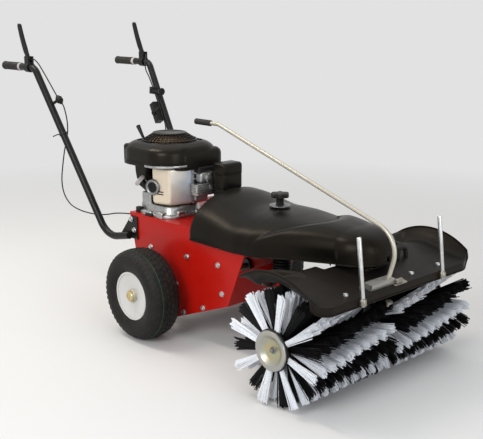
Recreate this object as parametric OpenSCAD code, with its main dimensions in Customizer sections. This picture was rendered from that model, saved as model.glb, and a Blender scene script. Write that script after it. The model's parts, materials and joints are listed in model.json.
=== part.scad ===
// Walk-behind power brush sweeper. Millimetres, +X forward, +Y to the machine's left, +Z up, ground at Z = 0.
// Pieces are drawn with X = 0 at the wheel axle, then moved so that the origin is under the middle of the machine.

/* [Wheels] */
// Outside diameter of the tyre
tyre_d = 330; // [310:1:350]
// Width of the tyre
tyre_w = 124; // [116:1:134]
// Distance between the middle planes of the tyres
track = 634; // [610:1:640]
// Diameter of the rim where the tyre sits
rim_d = 175; // [165:1:185]
// Diameter of each half axle
axle_d = 20; // [16:1:24]

/* [Chassis] */
// Width over the two side plates
chassis_w = 410; // [380:1:430]
// Thickness of the sheet steel
plate_t = 4; // [3:0.5:5]
// Height of the engine deck over the axle
deck_rise = 247; // [240:1:260]
// Length of the chassis behind the axle
chassis_rear = 219; // [205:1:240]
// Length of the chassis before the axle, at the top
chassis_front = 436; // [420:1:445]

/* [Brush] */
// Length over the two brush ends
brush_l = 802; // [780:1:820]
// Diameter over the bristle tips
brush_d = 366; // [350:1:376]
// Distance from the wheel axle to the brush axis
reach = 731; // [715:1:760]
// Diameter of the end discs
disc_d = 124; // [110:1:136]
// Gap between the two brush halves
brush_gap = 50; // [46:1:60]
// Twist of the bristle rows, in degrees for each millimetre of length
row_twist = 0.065; // [0.04:0.005:0.09]

/* [Guard] */
// Width over the two guard wings
guard_w = 770; // [740:1:790]
// Thickness of the guard shell
guard_t = 3.5; // [3:0.5:4.5]
// Room between the bristle tips and the guard
guard_gap = 13; // [11:1:16]
// Height of the upturned rim over the guard floor
rim_h = 44; // [36:1:50]
// Diameter of the upright posts
post_d = 14; // [12:1:16]
// Length of the upright posts
post_l = 204; // [180:1:230]
// Distance of each post from the middle
post_y = 197; // [180:1:220]

/* [Handlebars] */
// Height of the hand grips
grip_h = 930; // [900:1:960]
// Distance from the axle to the end of the grips
grip_reach = 976; // [950:1:1000]
// Distance between the two grips
grip_spread = 570; // [540:1:600]
// Diameter of the handlebar tube
tube_d = 28; // [25:1:30]
// Wall of the handlebar tube
tube_wall = 2; // [1.5:0.5:3]

/* [Hood] */
// Width of the hood at the chassis
hood_w = 428; // [424:1:450]
// Wall of the hood
hood_t = 4; // [3:0.5:5]
// Radius of the round nose about the swivel axis
nose_r = 118; // [112:1:124]
// Height of the hood over the engine deck, at the back
hood_rise = 118; // [110:1:126]

/* [Engine] */
// Height of the engine over the deck
engine_h = 300; // [290:1:310]
// Side of the square fan cover
cover_w = 300; // [285:1:310]
// Diameter of the crankshaft
crank_d = 25; // [22:1:26]

/* [Steering] */
// Diameter of the steering rod
rod_d = 14; // [12:1:16]
// Height of the steering rod's grip
rod_h = 760; // [745:1:790]

/* [Hidden] */
$fn = 48;

// How far a cut runs past the face it opens
overrun = 1;
// Radial clearance of a turning shaft in its bore
run_gap = 0.05;
// Room between faces of pieces that move past each other
side_gap = 0.5;

// Heights and places that the pieces share
axle_z = tyre_d / 2;
deck_z = axle_z + deck_rise;
brush_z = brush_d / 2;
half_w = chassis_w / 2;
inner_w = half_w - plate_t;

// Frame: the middle between the grip ends and the front of the posts
post_lean = 6.8;
post_foot_rise = 138;
post_foot_reach = 184.5;
post_x = reach + post_foot_reach;
post_foot_z = brush_z + post_foot_rise;
frame_x = (post_x + post_d / 2 * cos(post_lean) - grip_reach) / 2;

// Hex bolts
bolt_d = 8;
bolt_head_d = 16;
bolt_head_h = 6;

// Side plate outline
plate_foot_x = 20;
plate_foot_drop = 117;
plate_toe_x = 337;
plate_toe_rise = 8;
plate_heel_inset = 34;
plate_heel_rise = 93;
// The top edge steps down under the hood, and the left plate ends further back
plate_step = 28;
left_back = 115;
plate_step_z = deck_z - plate_step;
plate_toe_z = axle_z + plate_toe_rise;
plate_rake = (chassis_front - plate_toe_x) / (deck_z - plate_toe_z);
function plate_points(back) = [
  [-chassis_rear, deck_z], [deck_front_x, deck_z], [deck_front_x, plate_step_z],
  [plate_toe_x + plate_rake * (plate_step_z - plate_toe_z) - back, plate_step_z], [plate_toe_x - back, plate_toe_z],
  [plate_foot_x, axle_z - plate_foot_drop], [-chassis_rear + plate_heel_inset, axle_z + plate_heel_rise]];
plate_heel = [-chassis_rear + plate_heel_inset, axle_z + plate_heel_rise];
// Bolts on the side plates, as shares of the plate's length and height
plate_bolt_shares = [[0.20, 0.69], [0.775, 0.72], [0.805, 0.45], [0.65, 0.24], [0.485, 0.12], [0.425, 0.39]];
plate_l = chassis_rear + chassis_front;
plate_h = deck_rise + plate_foot_drop;
function plate_spot(s, back) = [-chassis_rear + s[0] * (plate_l - back), axle_z - plate_foot_drop + s[1] * plate_h];

// Deck, front panel and the arm's pivot
hood_back_x = 149;
hood_room = 8;
deck_front_x = hood_back_x - hood_room;
panel_top_rise = 135;
shelf_l = 74;
shelf_w = 80;
shelf_t = 12;
shelf_rise = 77;
notch_w = 84;
web_y = 48;
pivot_x = 122;
pivot_rise = 141;
pivot_d = 24;
pivot_z = axle_z + pivot_rise;

// Axle, bearings and wheel gearbox
bearing_d = 60;
bearing_t = 12;
axle_room = 4;
axle_in = 26;
gearbox_d = 96;
gearbox_w = 100;
gearbox_boss_d = 52;
gearbox_boss_l = 24;
gearbox_neck_d = 60;
gearbox_neck_h = 92;
cross_tube_d = 24;
cross_tube_x = 60;
cross_tube_drop = 40;

// Wheel details
shoulder_r = 37;
tyre_wall = 13;
barrel_t = 7;
rim_w = 100;
face_t = 4;
face_z = 46;
face_r = 62;
face_dish = 10;
hub_d = 36;
hub_in = 50;
hub_out = 56;
pin_d = 6;
ring_t = 4;
pin_inset = 9;

// Engine places, from the crank axis
crank_x = -135;
crank_y = -72;
base_size = [210, 205];
base_place = [-98, -92];
base_r = 55;
base_t = 12;
base_top_share = 0.82;
base_h = 40;
case_d = 120;
cover_z = deck_z + engine_h * 0.655;
cover_h = engine_h * 0.245;
cover_wall = 3;
cover_corner_r = 100;
cover_base_t = 8;
// Steps of the domed top: shares of the height, and insets as shares of the width
cover_step_shares = [[0.62, 0], [0.74, 0.02], [0.86, 0.06], [1, 0.13]];
grille_h = engine_h - engine_h * 0.655 - engine_h * 0.245;
grille_foot_d = 206;
grille_top_d = 144;
grille_slots = 28;
slot_w = 9;
grille_slot_share = 0.62;
flywheel_d = 180;
flywheel_t = 24;
flywheel_lift = 14;
block_l = 76;
block_w = 70;
block_x = -78;
block_y = -70;
block_foot = 46;
fin_t = 4;
fin_count = 7;
fin_out = 8;
exhaust_d = 28;
exhaust_l = 10;
exhaust_x = -35;
exhaust_rise = 148;
shield_rise = 44;
shield_h = 142;
shield_points = [[-107, -189], [-26, -163], [-4, -84], [-70, -80]];
shield_wall_share = 0.96;
outlet_d = 42;
outlet_l = 10;
outlet_share = 0.16;
outlet_rise_share = 0.46;
air_size = [66, 96, 96];
air_place = [46, -20, 104];
air_wall = 3;
carb_d = 52;
carb_y = 10;
carb_rise = 140;
carb_bowl_d = 40;
carb_bowl_h = 30;
filler_d = 28;
filler_wall = 4;
filler_r = 50;
filler_foot = [-163, -141];
filler_knee_rise = 78;
filler_top = [-190, -168];
filler_top_rise = 113;
cap_d = 44;
cap_t = 16;
cap_plug_l = 12;
engine_bolt_shares = [[0.455, 0.2], [-0.455, 0.28], [-0.455, -0.2], [0.455, -0.2]];

// Starter grip beside the grille
starter_place = [-233, -123];
starter_lift = 4;
starter_tilt = -37;
starter_l = 52;
starter_d = 11;
starter_tip_d = 17;

// Belt and pulleys
belt_w = 11;
belt_t = 8;
belt_steps = 20;
pulley_t = 22;
groove_t = 16;
groove_gap = 1;
drive_pulley_d = 100;
driven_pulley_d = 196;
pulley_drop = 4;

// Brush arm
arm_gap = 5.5;
arm_t = 20;
arm_w = 70;
arm_z = brush_z + brush_d / 2 + guard_gap + guard_t + arm_gap;
boss_d = 50;
boss_l = 190;
boom_root_h = 44;
bearing_ring_d = 104;
journal_d = 64;
knob_x = 379;
spindle_d = 16;
spindle_room = 8;
belt_z1 = deck_z - plate_t - pulley_drop - pulley_t / 2;
belt_z2 = arm_z + arm_t + side_gap * 4 + pulley_t / 2;

// Hood: bottom edge, top line and taper
hood_taper_x = 431;
hood_drop = 40;
hood_lift = 8;
hood_seat_rise = 85;
hood_front_rise = 88;
nose_turns = 7;
nose_end_turn = 84;
nose_round_share = 0.55;
back_round_share = 0.95;
front_round_share = 0.66;
round_start_x = 250;
round_end_x = 640;
skirt_h = 16;
hood_rings = 18;
// Top line behind the nose: shares of the length from the back to the swivel axis, and of the drop to the seat
hood_line_shares = [[0, 0], [0.09, 0.12], [0.18, 0.42], [0.28, 0.8], [0.36, 1], [0.42, 1], [0.52, 0.96], [0.66, 0.92], [0.82, 0.93], [1, 0.98]];
hood_top_z = deck_z + hood_rise;
hood_seat_z = deck_z + hood_seat_rise;

// Height adjuster
washer_d = 92;
washer_t = 4;
spacer_d = 28;
knob_d = 68;
knob_h = 17;
knob_neck_h = 25;
knob_neck_d = 26;
lobe_d = 22;
lobe_count = 6;
bellows_d = 70;
bellows_root_d = 54;
bellows_ahead = 13;
bellows_ribs = 7;
bellows_wall = 2;

// Swivel head
neck_l = 80;
neck_w = 36;
head_case_d = 110;
head_case_w = 44;
flange_d = 92;
flange_t = 6;
input_d = 24;
brush_shaft_d = 30;
crown_d = 76;
crown_t = 7;
crown_y = 10;
pinion_d = 40;
pinion_h = 22;

// Guard form: angles about the brush axis
floor_turn = 78.2;
floor_end_turn = 85;
// Beside the hood the floor runs flat to its rear edge: where that starts, is full, ends and is gone
flat_turn = 97.2;
flat_shares = [0.39, 0.45, 0.6, 0.7];
lip_turn = 43;
lip_drop_turn = 5;
lip_draw_share = 0.935;
middle_turn = 92;
wing_turn = 131;
notch_turn = 70;
corner_turn = 9;
wing_corner_turn = 6;
rear_rim_turn = 12;
guard_rows = 14;
notch_share = 0.16;
notch_end_share = 0.21;
wing_start_share = 0.6;
wing_full_share = 0.79;
rim_start_share = 0.88;
corner_start_share = 0.82;
// Stations across half of the guard, as shares of its half width
guard_shares = [0, 0.08, 0.16, 0.21, 0.39, 0.45, 0.6, 0.65, 0.7, 0.75, 0.79, 0.83, 0.88, 0.91, 0.94, 0.97, 1];
floor_r = brush_d / 2 + guard_gap;
floor_tilt = 90 - floor_turn;

// Guard frame, brackets and posts
bar_w = 26;
bar_h = 8;
bar_l = 500;
bar_reach = 143;
spine_w = 30;
spine_h = 34;
guard_bolt_shares = [-0.912, 0.34, 0.912];
bracket_l = 110;
bracket_w = 30;
bracket_h = 18;
bracket_y = -45;
bracket_tail = 16;
post_clip_l = 26;
post_clip_w = 20;
post_clip_h = 23.2;

// Steering rod in the plane of its bracket
rod_foot_reach = 151;
rod_bend_reach = 194;
rod_bend_rise = 127;
rod_tail_x = -7;
rod_knee_x = 113;
rod_bend_r = 85;
rod_knee_r = 40;
rod_grip_l = 84;
rod_grip_d = 22;
rod_foot_rise = 12;

// Brush
core_d = 92;
rows = 8;
row_pitch = 360 / rows;
near_turn = 32;
far_turn = -20;
strand_w = 8;
tufts = 13;
disc_t = 5;
disc_lip_t = 9;
disc_lip_w = 9;
end_bolt_d = 30;
end_bolt_h = 8;
half_inner = brush_gap / 2;
half_outer = brush_l / 2 - end_bolt_h - disc_lip_t;
tuft_pitch = (half_outer - half_inner) / (2 * tufts);
strand_root = 3;

// Handlebars
handle_run = 243;
handle_top_x = grip_reach - handle_run;
handle_low_x = 338;
handle_low_rise = 130;
handle_foot_x = 200;
handle_foot_rise = 160;
handle_bend_r = 45;
handle_foot_r = 90;
grip_y = grip_spread / 2;
grip_l = 126;
grip_d = 35;
bracket_plate_t = 5;
handle_foot_y = half_w + bracket_plate_t + tube_d / 2;
handle_splay = 6;
handle_low_y = handle_foot_y + handle_splay;
gusset_l = 16;
gusset_fore = 32;
gusset_drop = 14;
gusset_bolt_lean = 18;
gusset_tail = 80;
gusset_inset = 26;
gusset_pitch = 40;
gusset_bolt_x = -chassis_rear + plate_heel_inset;
gusset_spots = [[gusset_bolt_x - gusset_bolt_lean, deck_z - gusset_inset], [gusset_bolt_x, deck_z - gusset_inset - gusset_pitch]];

// Hand levers
lever_inset = 201;
lever_x = grip_reach - lever_inset;
clamp_l = 30;
clamp_d = 40;
ear_h = 30;
ear_w = 26;
lever_t = 10;
lever_pin_d = 8;
lever_pin_rise = 29;
lever_l = 156;
lever_lean = -24;
lever_root_w = 28;
lever_tip_w = 19;
lever_eye_d = 22;

// Controls on the left handlebar, as shares of the way down the tube
box_share = 0.32;
box_size = [30, 28, 92];
box_back = 20;
throttle_l = 46;
throttle_w = 12;
throttle_t = 5;
throttle_pin_d = 8;
throttle_pin_l = 8;
selector_share = 0.19;
selector_size = [44, 16, 30];
selector_l = 58;
selector_w = 12;
selector_t = 6;
selector_pin_d = 8;
selector_knob_d = 32;
selector_knob_h = 20;
selector_turn = 32;
adjuster_share = 0.242;
adjuster_size = [44, 26, 28];
adjuster_out = 33;
adjuster_bore_d = 15;
adjuster_y = -19;

// Sides and arc steps of the bent pipes
pipe_sides = 24;
bend_steps = 8;

// Bowden cables: routes from the hand levers to the chassis
cable_d = 5;
cable_sides = 8;
cable_step = 2;
// The points are drawn for these grips: along the tubes they move as the tube does, and below that they ease back to the chassis
drawn_grip_h = 930;
drawn_grip_reach = 976;
drawn_grip_spread = 570;
cable_low_z = 392;
cable_tied_z = 650;
handle_low_z = axle_z + handle_low_rise;
function tied(route) = [for (p = route)
  let (t = min(1, (p[2] - handle_low_z) / (drawn_grip_h - handle_low_z)) * ease((p[2] - cable_low_z) / (cable_tied_z - cable_low_z)))
  p + t * [drawn_grip_reach - grip_reach, sign(p[1]) * (grip_spread - drawn_grip_spread) / 2, grip_h - drawn_grip_h]];
drive_route = tied([[-757, -285, 962], [-736, -284, 963], [-714, -279, 948], [-696, -272, 922], [-656, -262, 867], [-620, -255, 820],
  [-598, -253, 802], [-577, -253, 782], [-562, -252, 738], [-567, -247, 700], [-577, -244, 670], [-585, -248, 636], [-590, -254, 600],
  [-597, -260, 545], [-606, -262, 488], [-607, -257, 440], [-592, -251, 406], [-556, -248, 384], [-500, -236, 370],
  [-440, -214, 364], [-380, -206, 372], [-330, -198, 384], [-290, -190, 390], [-256, -180, 392], [-222, -170, 392]]);
brush_route = tied([[-757, 285, 962], [-738, 272, 952], [-732, 264, 926], [-731, 266, 896], [-716, 274, 860], [-680, 272, 802],
  [-642, 269, 738], [-613, 267, 692], [-588, 259, 655], [-556, 232, 612], [-520, 212, 566], [-480, 200, 520], [-440, 193, 462], [-400, 187, 420],
  [-350, 181, 394], [-300, 176, 384], [-256, 172, 388], [-222, 170, 392]]);

// Helpers for paths, plates and pipes

function unit(v) = v / norm(v);
function ease(t) = let (c = min(1, max(0, t))) c * c * (3 - 2 * c);
function mix(a, b, t) = a + (b - a) * t;
function side_axis(w) = abs(w[2]) > abs(w[0]) + abs(w[1]) ? [1, 0, 0] : [0, 0, 1];

module framed() translate([-frame_x, 0, 0]) children();

module on_left(left) {
  if (left) children();
  else mirror([0, 1, 0]) children();
}

module both_sides() {
  children();
  mirror([0, 1, 0]) children();
}

// Sets local X, Y and Z along e1, e2 and e3, with the origin at p
module set_frame(e1, e2, e3, p) {
  multmatrix([
    [e1[0], e2[0], e3[0], p[0]],
    [e1[1], e2[1], e3[1], p[1]],
    [e1[2], e2[2], e3[2], p[2]],
    [0, 0, 0, 1]]) children();
}

module along(p, dir) {
  w = unit(dir);
  e1 = unit(cross(side_axis(w), w));
  set_frame(e1, cross(w, e1), w, p) children();
}

// Points round the corner b of a path, on an arc of radius r
function bend_points(a, b, c, r) = let (
    u = unit(b - a), w = unit(c - b), turn = acos(u * w), hub = b + unit(w - u) * r / cos(turn / 2),
    e1 = unit(b - u * r * tan(turn / 2) - hub), e2 = cross(unit(cross(u, w)), e1))
  [for (k = [0 : bend_steps]) hub + (e1 * cos(turn * k / bend_steps) + e2 * sin(turn * k / bend_steps)) * r];
// A path through points, with every inner corner bent to radius r[i]
function bent_route(pts, r) = concat(
  [pts[0]], [for (i = [1 : len(pts) - 2]) each bend_points(pts[i - 1], pts[i], pts[i + 1], r[i - 1])], [pts[len(pts) - 1]]);

module rounded_rect(size, r) {
  translate([r, 0]) square([size[0] - 2 * r, size[1]]);
  translate([0, r]) square([size[0], size[1] - 2 * r]);
  for (x = [r, size[0] - r], y = [r, size[1] - r]) translate([x, y]) circle(r = r);
}

// A plate in the XZ plane, t thick, from y0 towards +Y
module xz_plate(y0, t) translate([0, y0 + t, 0]) rotate([90, 0, 0]) linear_extrude(height = t) children();

// A bar along Y through [x, z], from y0 to y1
module y_bar(x, z, y0, y1, d) translate([x, y0, z]) rotate([-90, 0, 0]) cylinder(d = d, h = y1 - y0);

// A hex head with its shank, the head's seat at the origin and the head towards +Z
module hex_bolt(shank) {
  cylinder(d = bolt_head_d, h = bolt_head_h, $fn = 6);
  translate([0, 0, -shank]) cylinder(d = bolt_d, h = shank);
}

// Faces of a two-sided sheet of nu by nv points, the far side listed after the near side
function sheet_faces(nu, nv) = let (n = nu * nv) concat(
  [for (i = [0 : nu - 2], j = [0 : nv - 2]) each [
    [i * nv + j, i * nv + j + 1, (i + 1) * nv + j + 1], [i * nv + j, (i + 1) * nv + j + 1, (i + 1) * nv + j],
    [n + i * nv + j, n + (i + 1) * nv + j + 1, n + i * nv + j + 1], [n + i * nv + j, n + (i + 1) * nv + j, n + (i + 1) * nv + j + 1]]],
  [for (i = [0 : nu - 2]) each let (a = i * nv, b = (i + 1) * nv) [
    [a, b, n + b], [a, n + b, n + a],
    [a + nv - 1, n + b + nv - 1, b + nv - 1], [a + nv - 1, n + a + nv - 1, n + b + nv - 1]]],
  [for (j = [0 : nv - 2]) each let (a = (nu - 1) * nv + j) [
    [j, n + j + 1, j + 1], [j, n + j, n + j + 1],
    [a, a + 1, n + a + 1], [a, n + a + 1, n + a]]]);

// Rings of points round a route
function route_dir(p, i) = let (last = len(p) - 1)
  unit((i < last ? unit(p[i + 1] - p[i]) : [0, 0, 0]) + (i > 0 ? unit(p[i] - p[i - 1]) : [0, 0, 0]));
function route_rings(p, d, sides) = [for (i = [0 : len(p) - 1])
  let (w = route_dir(p, i), e1 = unit(cross(w, [0, 1, 0])), e2 = cross(w, e1))
  for (k = [0 : sides - 1]) p[i] + (e1 * cos(360 * k / sides) + e2 * sin(360 * k / sides)) * d / 2];
function ring_walls(n, sides) = [for (i = [0 : n - 2], k = [0 : sides - 1])
  let (a = i * sides + k, b = i * sides + (k + 1) % sides) each [[a, a + sides, b + sides], [a, b + sides, b]]];

// A solid rod along a route
module swept_rod(route, d, sides) {
  end = (len(route) - 1) * sides;
  caps = [for (k = [1 : sides - 2]) each [[0, k, k + 1], [end, end + k + 1, end + k]]];
  polyhedron(points = route_rings(route, d, sides), faces = concat(ring_walls(len(route), sides), caps));
}

// An open pipe along a route
module swept_pipe(route, d, wall, sides) {
  n = len(route) * sides;
  end = n - sides;
  inside = [for (f = ring_walls(len(route), sides)) [n + f[2], n + f[1], n + f[0]]];
  ends = [for (k = [0 : sides - 1]) let (m = (k + 1) % sides) each [
    [k, m, n + m], [k, n + m, n + k], [end + k, n + end + m, end + m], [end + k, n + end + k, n + end + m]]];
  polyhedron(points = concat(route_rings(route, d, sides), route_rings(route, d - 2 * wall, sides)),
    faces = concat(ring_walls(len(route), sides), inside, ends));
}

// Points between the route's own points, on a smooth curve
function curve_point(p, i, t) = let (
    a = p[max(i - 1, 0)], b = p[i], c = p[i + 1], d = p[min(i + 2, len(p) - 1)])
  0.5 * (2 * b + (c - a) * t + (2 * a - 5 * b + 4 * c - d) * t * t + (3 * b - a - 3 * c + d) * t * t * t);
function smooth_route(p, n) = concat([for (i = [0 : len(p) - 2], k = [0 : n - 1]) curve_point(p, i, k / n)], [p[len(p) - 1]]);

// Chassis

module plate_shape(back) {
  difference() {
    xz_plate(inner_w, plate_t) polygon(plate_points(back));
    y_bar(0, axle_z, inner_w - overrun, half_w + overrun, axle_d + 2 * axle_room);
    y_bar(pivot_x, pivot_z, inner_w - overrun, half_w + overrun, pivot_d);
    for (s = plate_bolt_shares) let (p = plate_spot(s, back)) y_bar(p[0], p[1], inner_w - overrun, half_w + overrun, bolt_d);
    for (p = gusset_spots) y_bar(p[0], p[1], inner_w - overrun, half_w + overrun, bolt_d);
  }
}

module side_plate_right() color("#c01818") framed() on_left(false) plate_shape(0);
module side_plate_left() color("#c01818") framed() on_left(true) plate_shape(left_back);

module top_deck() {
  heel = plate_heel;
  slope = [heel[0] + chassis_rear, heel[1] - deck_z];
  wall_x = plate_t * norm(slope) / abs(slope[1]);
  color("#b81616") framed() difference() {
    xz_plate(-inner_w, 2 * inner_w) polygon([
      [-chassis_rear, deck_z], [deck_front_x, deck_z], [deck_front_x, deck_z - plate_t],
      [-chassis_rear + wall_x + slope[0] * plate_t / abs(slope[1]), deck_z - plate_t], [heel[0] + wall_x, heel[1]], heel]);
    translate([crank_x, crank_y, deck_z - plate_t - overrun]) cylinder(d = crank_d + base_t, h = plate_t + 2 * overrun);
    for (s = engine_bolt_shares) engine_bolt_place(s) translate([0, 0, -base_t - plate_t - overrun]) cylinder(d = bolt_d, h = plate_t + overrun);
  }
}

// The panel follows the right plate's front edge, and steps back to the left plate beside the adjuster
module front_panel() {
  toe = [plate_toe_x, plate_toe_z];
  top = toe + [plate_rake * panel_top_rise, panel_top_rise];
  wall_x = plate_t * sqrt(1 + plate_rake * plate_rake);
  shelf_z = axle_z + shelf_rise;
  shelf_x = toe[0] + plate_rake * (shelf_z - toe[1]);
  back = [left_back, 0];
  color("#b01414") framed() difference() {
    union() {
      xz_plate(-inner_w, inner_w + web_y) polygon([toe, top, top - [wall_x, 0], toe - [wall_x, 0]]);
      xz_plate(web_y - plate_t, plate_t) polygon([toe, top, top - back - [wall_x, 0], toe - back - [wall_x, 0]]);
      xz_plate(web_y - plate_t, inner_w - web_y + plate_t) polygon([toe - back, top - back, top - back - [wall_x, 0], toe - back - [wall_x, 0]]);
      translate([shelf_x - wall_x / 2, -shelf_w / 2, shelf_z - shelf_t]) cube([shelf_l, shelf_w, shelf_t]);
    }
    translate([knob_x, 0, shelf_z - shelf_t - overrun]) cylinder(d = spindle_d + 2 * spindle_room, h = shelf_t + 2 * overrun);
    translate([toe[0], -notch_w / 2, shelf_z]) cube([2 * shelf_l, notch_w, panel_top_rise]);
  }
}

module wheel_gearbox() {
  color("#8f9296") framed() translate([0, 0, axle_z]) difference() {
    union() {
      y_bar(0, 0, -gearbox_w / 2, gearbox_w / 2, gearbox_d);
      y_bar(0, 0, -gearbox_w / 2 - gearbox_boss_l, gearbox_w / 2 + gearbox_boss_l, gearbox_boss_d);
      cylinder(d = gearbox_neck_d, h = gearbox_neck_h);
      y_bar(cross_tube_x, -cross_tube_drop, -inner_w, inner_w, cross_tube_d);
      translate([0, -gearbox_neck_d / 2, -cross_tube_drop - cross_tube_d / 4]) cube([cross_tube_x, gearbox_neck_d, cross_tube_d / 2]);
    }
    y_bar(0, 0, -gearbox_w / 2 - gearbox_boss_l - overrun, gearbox_w / 2 + gearbox_boss_l + overrun, axle_d + 2 * run_gap);
  }
}

module axle_bearings() {
  color("#a7abb0") framed() both_sides() translate([0, 0, axle_z]) difference() {
    y_bar(0, 0, inner_w - bearing_t, inner_w, bearing_d);
    y_bar(0, 0, inner_w - bearing_t - overrun, inner_w + overrun, axle_d + 2 * run_gap);
  }
}

module engine_bolt_place(s) {
  translate([base_place[0] + s[0] * base_size[0], base_place[1] + s[1] * base_size[1], deck_z + base_t]) children();
}

module frame_bolts() {
  color("#c9ccd0") framed() {
    for (left = [false, true]) on_left(left) {
      for (s = plate_bolt_shares) let (p = plate_spot(s, left ? left_back : 0))
        translate([p[0], half_w, p[1]]) rotate([-90, 0, 0]) hex_bolt(plate_t);
      for (p = gusset_spots)
        translate([p[0], half_w + bracket_plate_t, p[1]]) rotate([-90, 0, 0]) hex_bolt(plate_t + bracket_plate_t);
      translate([pivot_x, half_w, pivot_z]) rotate([-90, 0, 0]) hex_bolt(plate_t);
    }
    y_bar(pivot_x, pivot_z, -half_w, half_w, pivot_d);
    for (s = engine_bolt_shares) engine_bolt_place(s) hex_bolt(base_t + plate_t);
  }
}

// Handlebars: the tube runs from the foot on the chassis, up the slope, to the grip
handle_points = [
  [-handle_foot_x, handle_foot_y, axle_z + handle_foot_rise],
  [-handle_low_x, handle_low_y, axle_z + handle_low_rise],
  [-handle_top_x, grip_y, grip_h],
  [-grip_reach, grip_y, grip_h]];
slope_dir = unit(handle_points[2] - handle_points[1]);
function slope_spot(share) = mix(handle_points[2], handle_points[1], share);

// The tube stops one wall short of the end of its grip
tube_points = concat([for (i = [0 : 2]) handle_points[i]], [handle_points[3] + [tube_wall, 0, 0]]);

module handlebar_right() color("#1c1c1e") framed() on_left(false) swept_pipe(bent_route(tube_points, [handle_foot_r, handle_bend_r]), tube_d, tube_wall, pipe_sides);
module handlebar_left() color("#1c1c1e") framed() on_left(true) swept_pipe(bent_route(tube_points, [handle_foot_r, handle_bend_r]), tube_d, tube_wall, pipe_sides);

module hand_grips() {
  color("#232325") framed() both_sides() translate(handle_points[3]) rotate([0, 90, 0]) difference() {
    cylinder(d = grip_d, h = grip_l);
    translate([0, 0, tube_wall]) cylinder(d = tube_d, h = grip_l);
  }
}

// Gussets join the handlebar feet to the side plates
module handle_brackets() {
  foot = handle_points[0];
  color("#18181a") framed() both_sides() difference() {
    union() {
      xz_plate(half_w, bracket_plate_t) polygon([
        [foot[0] - gusset_tail, foot[2] - tube_d / 2], [foot[0] + gusset_fore, foot[2] - tube_d / 2],
        [foot[0] + gusset_fore, deck_z - gusset_drop], [foot[0] - gusset_l / 2, deck_z - gusset_drop]]);
    }
    for (p = gusset_spots) y_bar(p[0], p[1], half_w - overrun, half_w + bracket_plate_t + overrun, bolt_d);
  }
}

// Hand levers

lever_pin_z = grip_h + lever_pin_rise;

module lever_clamps() {
  color("#151517") framed() both_sides() translate([-lever_x, grip_y, grip_h]) {
    difference() {
      union() {
        rotate([0, 90, 0]) cylinder(d = clamp_d, h = clamp_l, center = true);
        translate([-clamp_l / 2, -ear_w / 2, 0]) cube([clamp_l, ear_w, lever_pin_rise + ear_h / 2]);
      }
      rotate([0, 90, 0]) cylinder(d = tube_d, h = clamp_l + 2 * overrun, center = true);
      translate([-clamp_l / 2 - overrun, -lever_t / 2 - side_gap, clamp_d / 2 - lever_t / 2])
        cube([clamp_l + 2 * overrun, lever_t + 2 * side_gap, lever_pin_rise + ear_h]);
    }
    y_bar(0, lever_pin_rise, -ear_w / 2, ear_w / 2, lever_pin_d);
  }
}

module lever_shape() {
  translate([-lever_x, grip_y - lever_t / 2, lever_pin_z]) rotate([0, lever_lean, 0]) difference() {
    union() {
      xz_plate(0, lever_t) polygon([
        [-lever_root_w / 2, lever_eye_d / 3], [lever_root_w / 2, lever_eye_d / 3],
        [lever_tip_w / 2, lever_l], [-lever_tip_w / 2, lever_l]]);
      y_bar(0, 0, 0, lever_t, lever_eye_d);
    }
    y_bar(0, 0, -overrun, lever_t + overrun, lever_pin_d + 2 * run_gap);
  }
}

module drive_lever() color("#1a1a1c") framed() on_left(false) lever_shape();
module brush_lever() color("#1a1a1c") framed() on_left(true) lever_shape();

// Controls on the left tube: a throttle box, and above it the speed selector's bracket

module on_slope(share) {
  set_frame(unit(cross([0, 1, 0], slope_dir)), unit(cross(slope_dir, cross([0, 1, 0], slope_dir))), slope_dir, slope_spot(share)) children();
}

module inner_block(size) translate([-size[0] / 2, -tube_d / 2 - size[1], -size[2] / 2]) cube(size);

module control_box() {
  color("#141416") framed() {
    on_slope(box_share) translate([-box_back, 0, 0]) {
      inner_block(box_size);
      y_bar(0, 0, -tube_d / 2 - box_size[1] - throttle_pin_l, -tube_d / 2 - box_size[1], throttle_pin_d);
    }
    on_slope(selector_share) rotate([0, selector_turn, 0]) {
      inner_block(selector_size);
      y_bar(0, 0, -tube_d / 2 - selector_size[1] - throttle_pin_l, -tube_d / 2 - selector_size[1], selector_pin_d);
    }
  }
}

module throttle_lever() {
  color("#2a2a2c") framed() on_slope(box_share) translate([-box_back, -tube_d / 2 - box_size[1] - side_gap - throttle_t, 0]) difference() {
    union() {
      y_bar(0, 0, 0, throttle_t, throttle_w * 2);
      translate([0, 0, -throttle_w / 2]) cube([throttle_l, throttle_t, throttle_w]);
    }
    y_bar(0, 0, -overrun, throttle_t + overrun, throttle_pin_d + 2 * run_gap);
  }
}

module selector_lever() {
  color("#1e1e20") framed() on_slope(selector_share) rotate([0, selector_turn, 0]) translate([0, -tube_d / 2 - selector_size[1] - side_gap - selector_t, 0]) difference() {
    union() {
      y_bar(0, 0, 0, selector_t, selector_w * 2);
      translate([0, 0, -selector_w / 2]) cube([selector_l, selector_t, selector_w]);
      translate([selector_l, selector_t / 2, 0]) rotate([0, 90, 0]) cylinder(d1 = selector_knob_d / 2, d2 = selector_knob_d, h = selector_knob_h);
    }
    y_bar(0, 0, -overrun, selector_t + overrun, selector_pin_d + 2 * run_gap);
  }
}

module cable_adjuster() {
  color("#1a1a1c") framed() on_left(false) on_slope(adjuster_share) difference() {
    translate([tube_d / 2 + side_gap, adjuster_y - adjuster_size[1] / 2, -adjuster_size[2] / 2]) cube(adjuster_size);
    translate([tube_d / 2 + adjuster_out, adjuster_y, -adjuster_size[2]]) cylinder(d = adjuster_bore_d, h = 2 * adjuster_size[2]);
  }
}

module drive_cable() color("#0e0e10") framed() swept_rod(smooth_route(drive_route, cable_step), cable_d, cable_sides);
module brush_cable() color("#0e0e10") framed() swept_rod(smooth_route(brush_route, cable_step), cable_d, cable_sides);

// Engine

module at_crank() translate([crank_x, crank_y, 0]) children();

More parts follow.
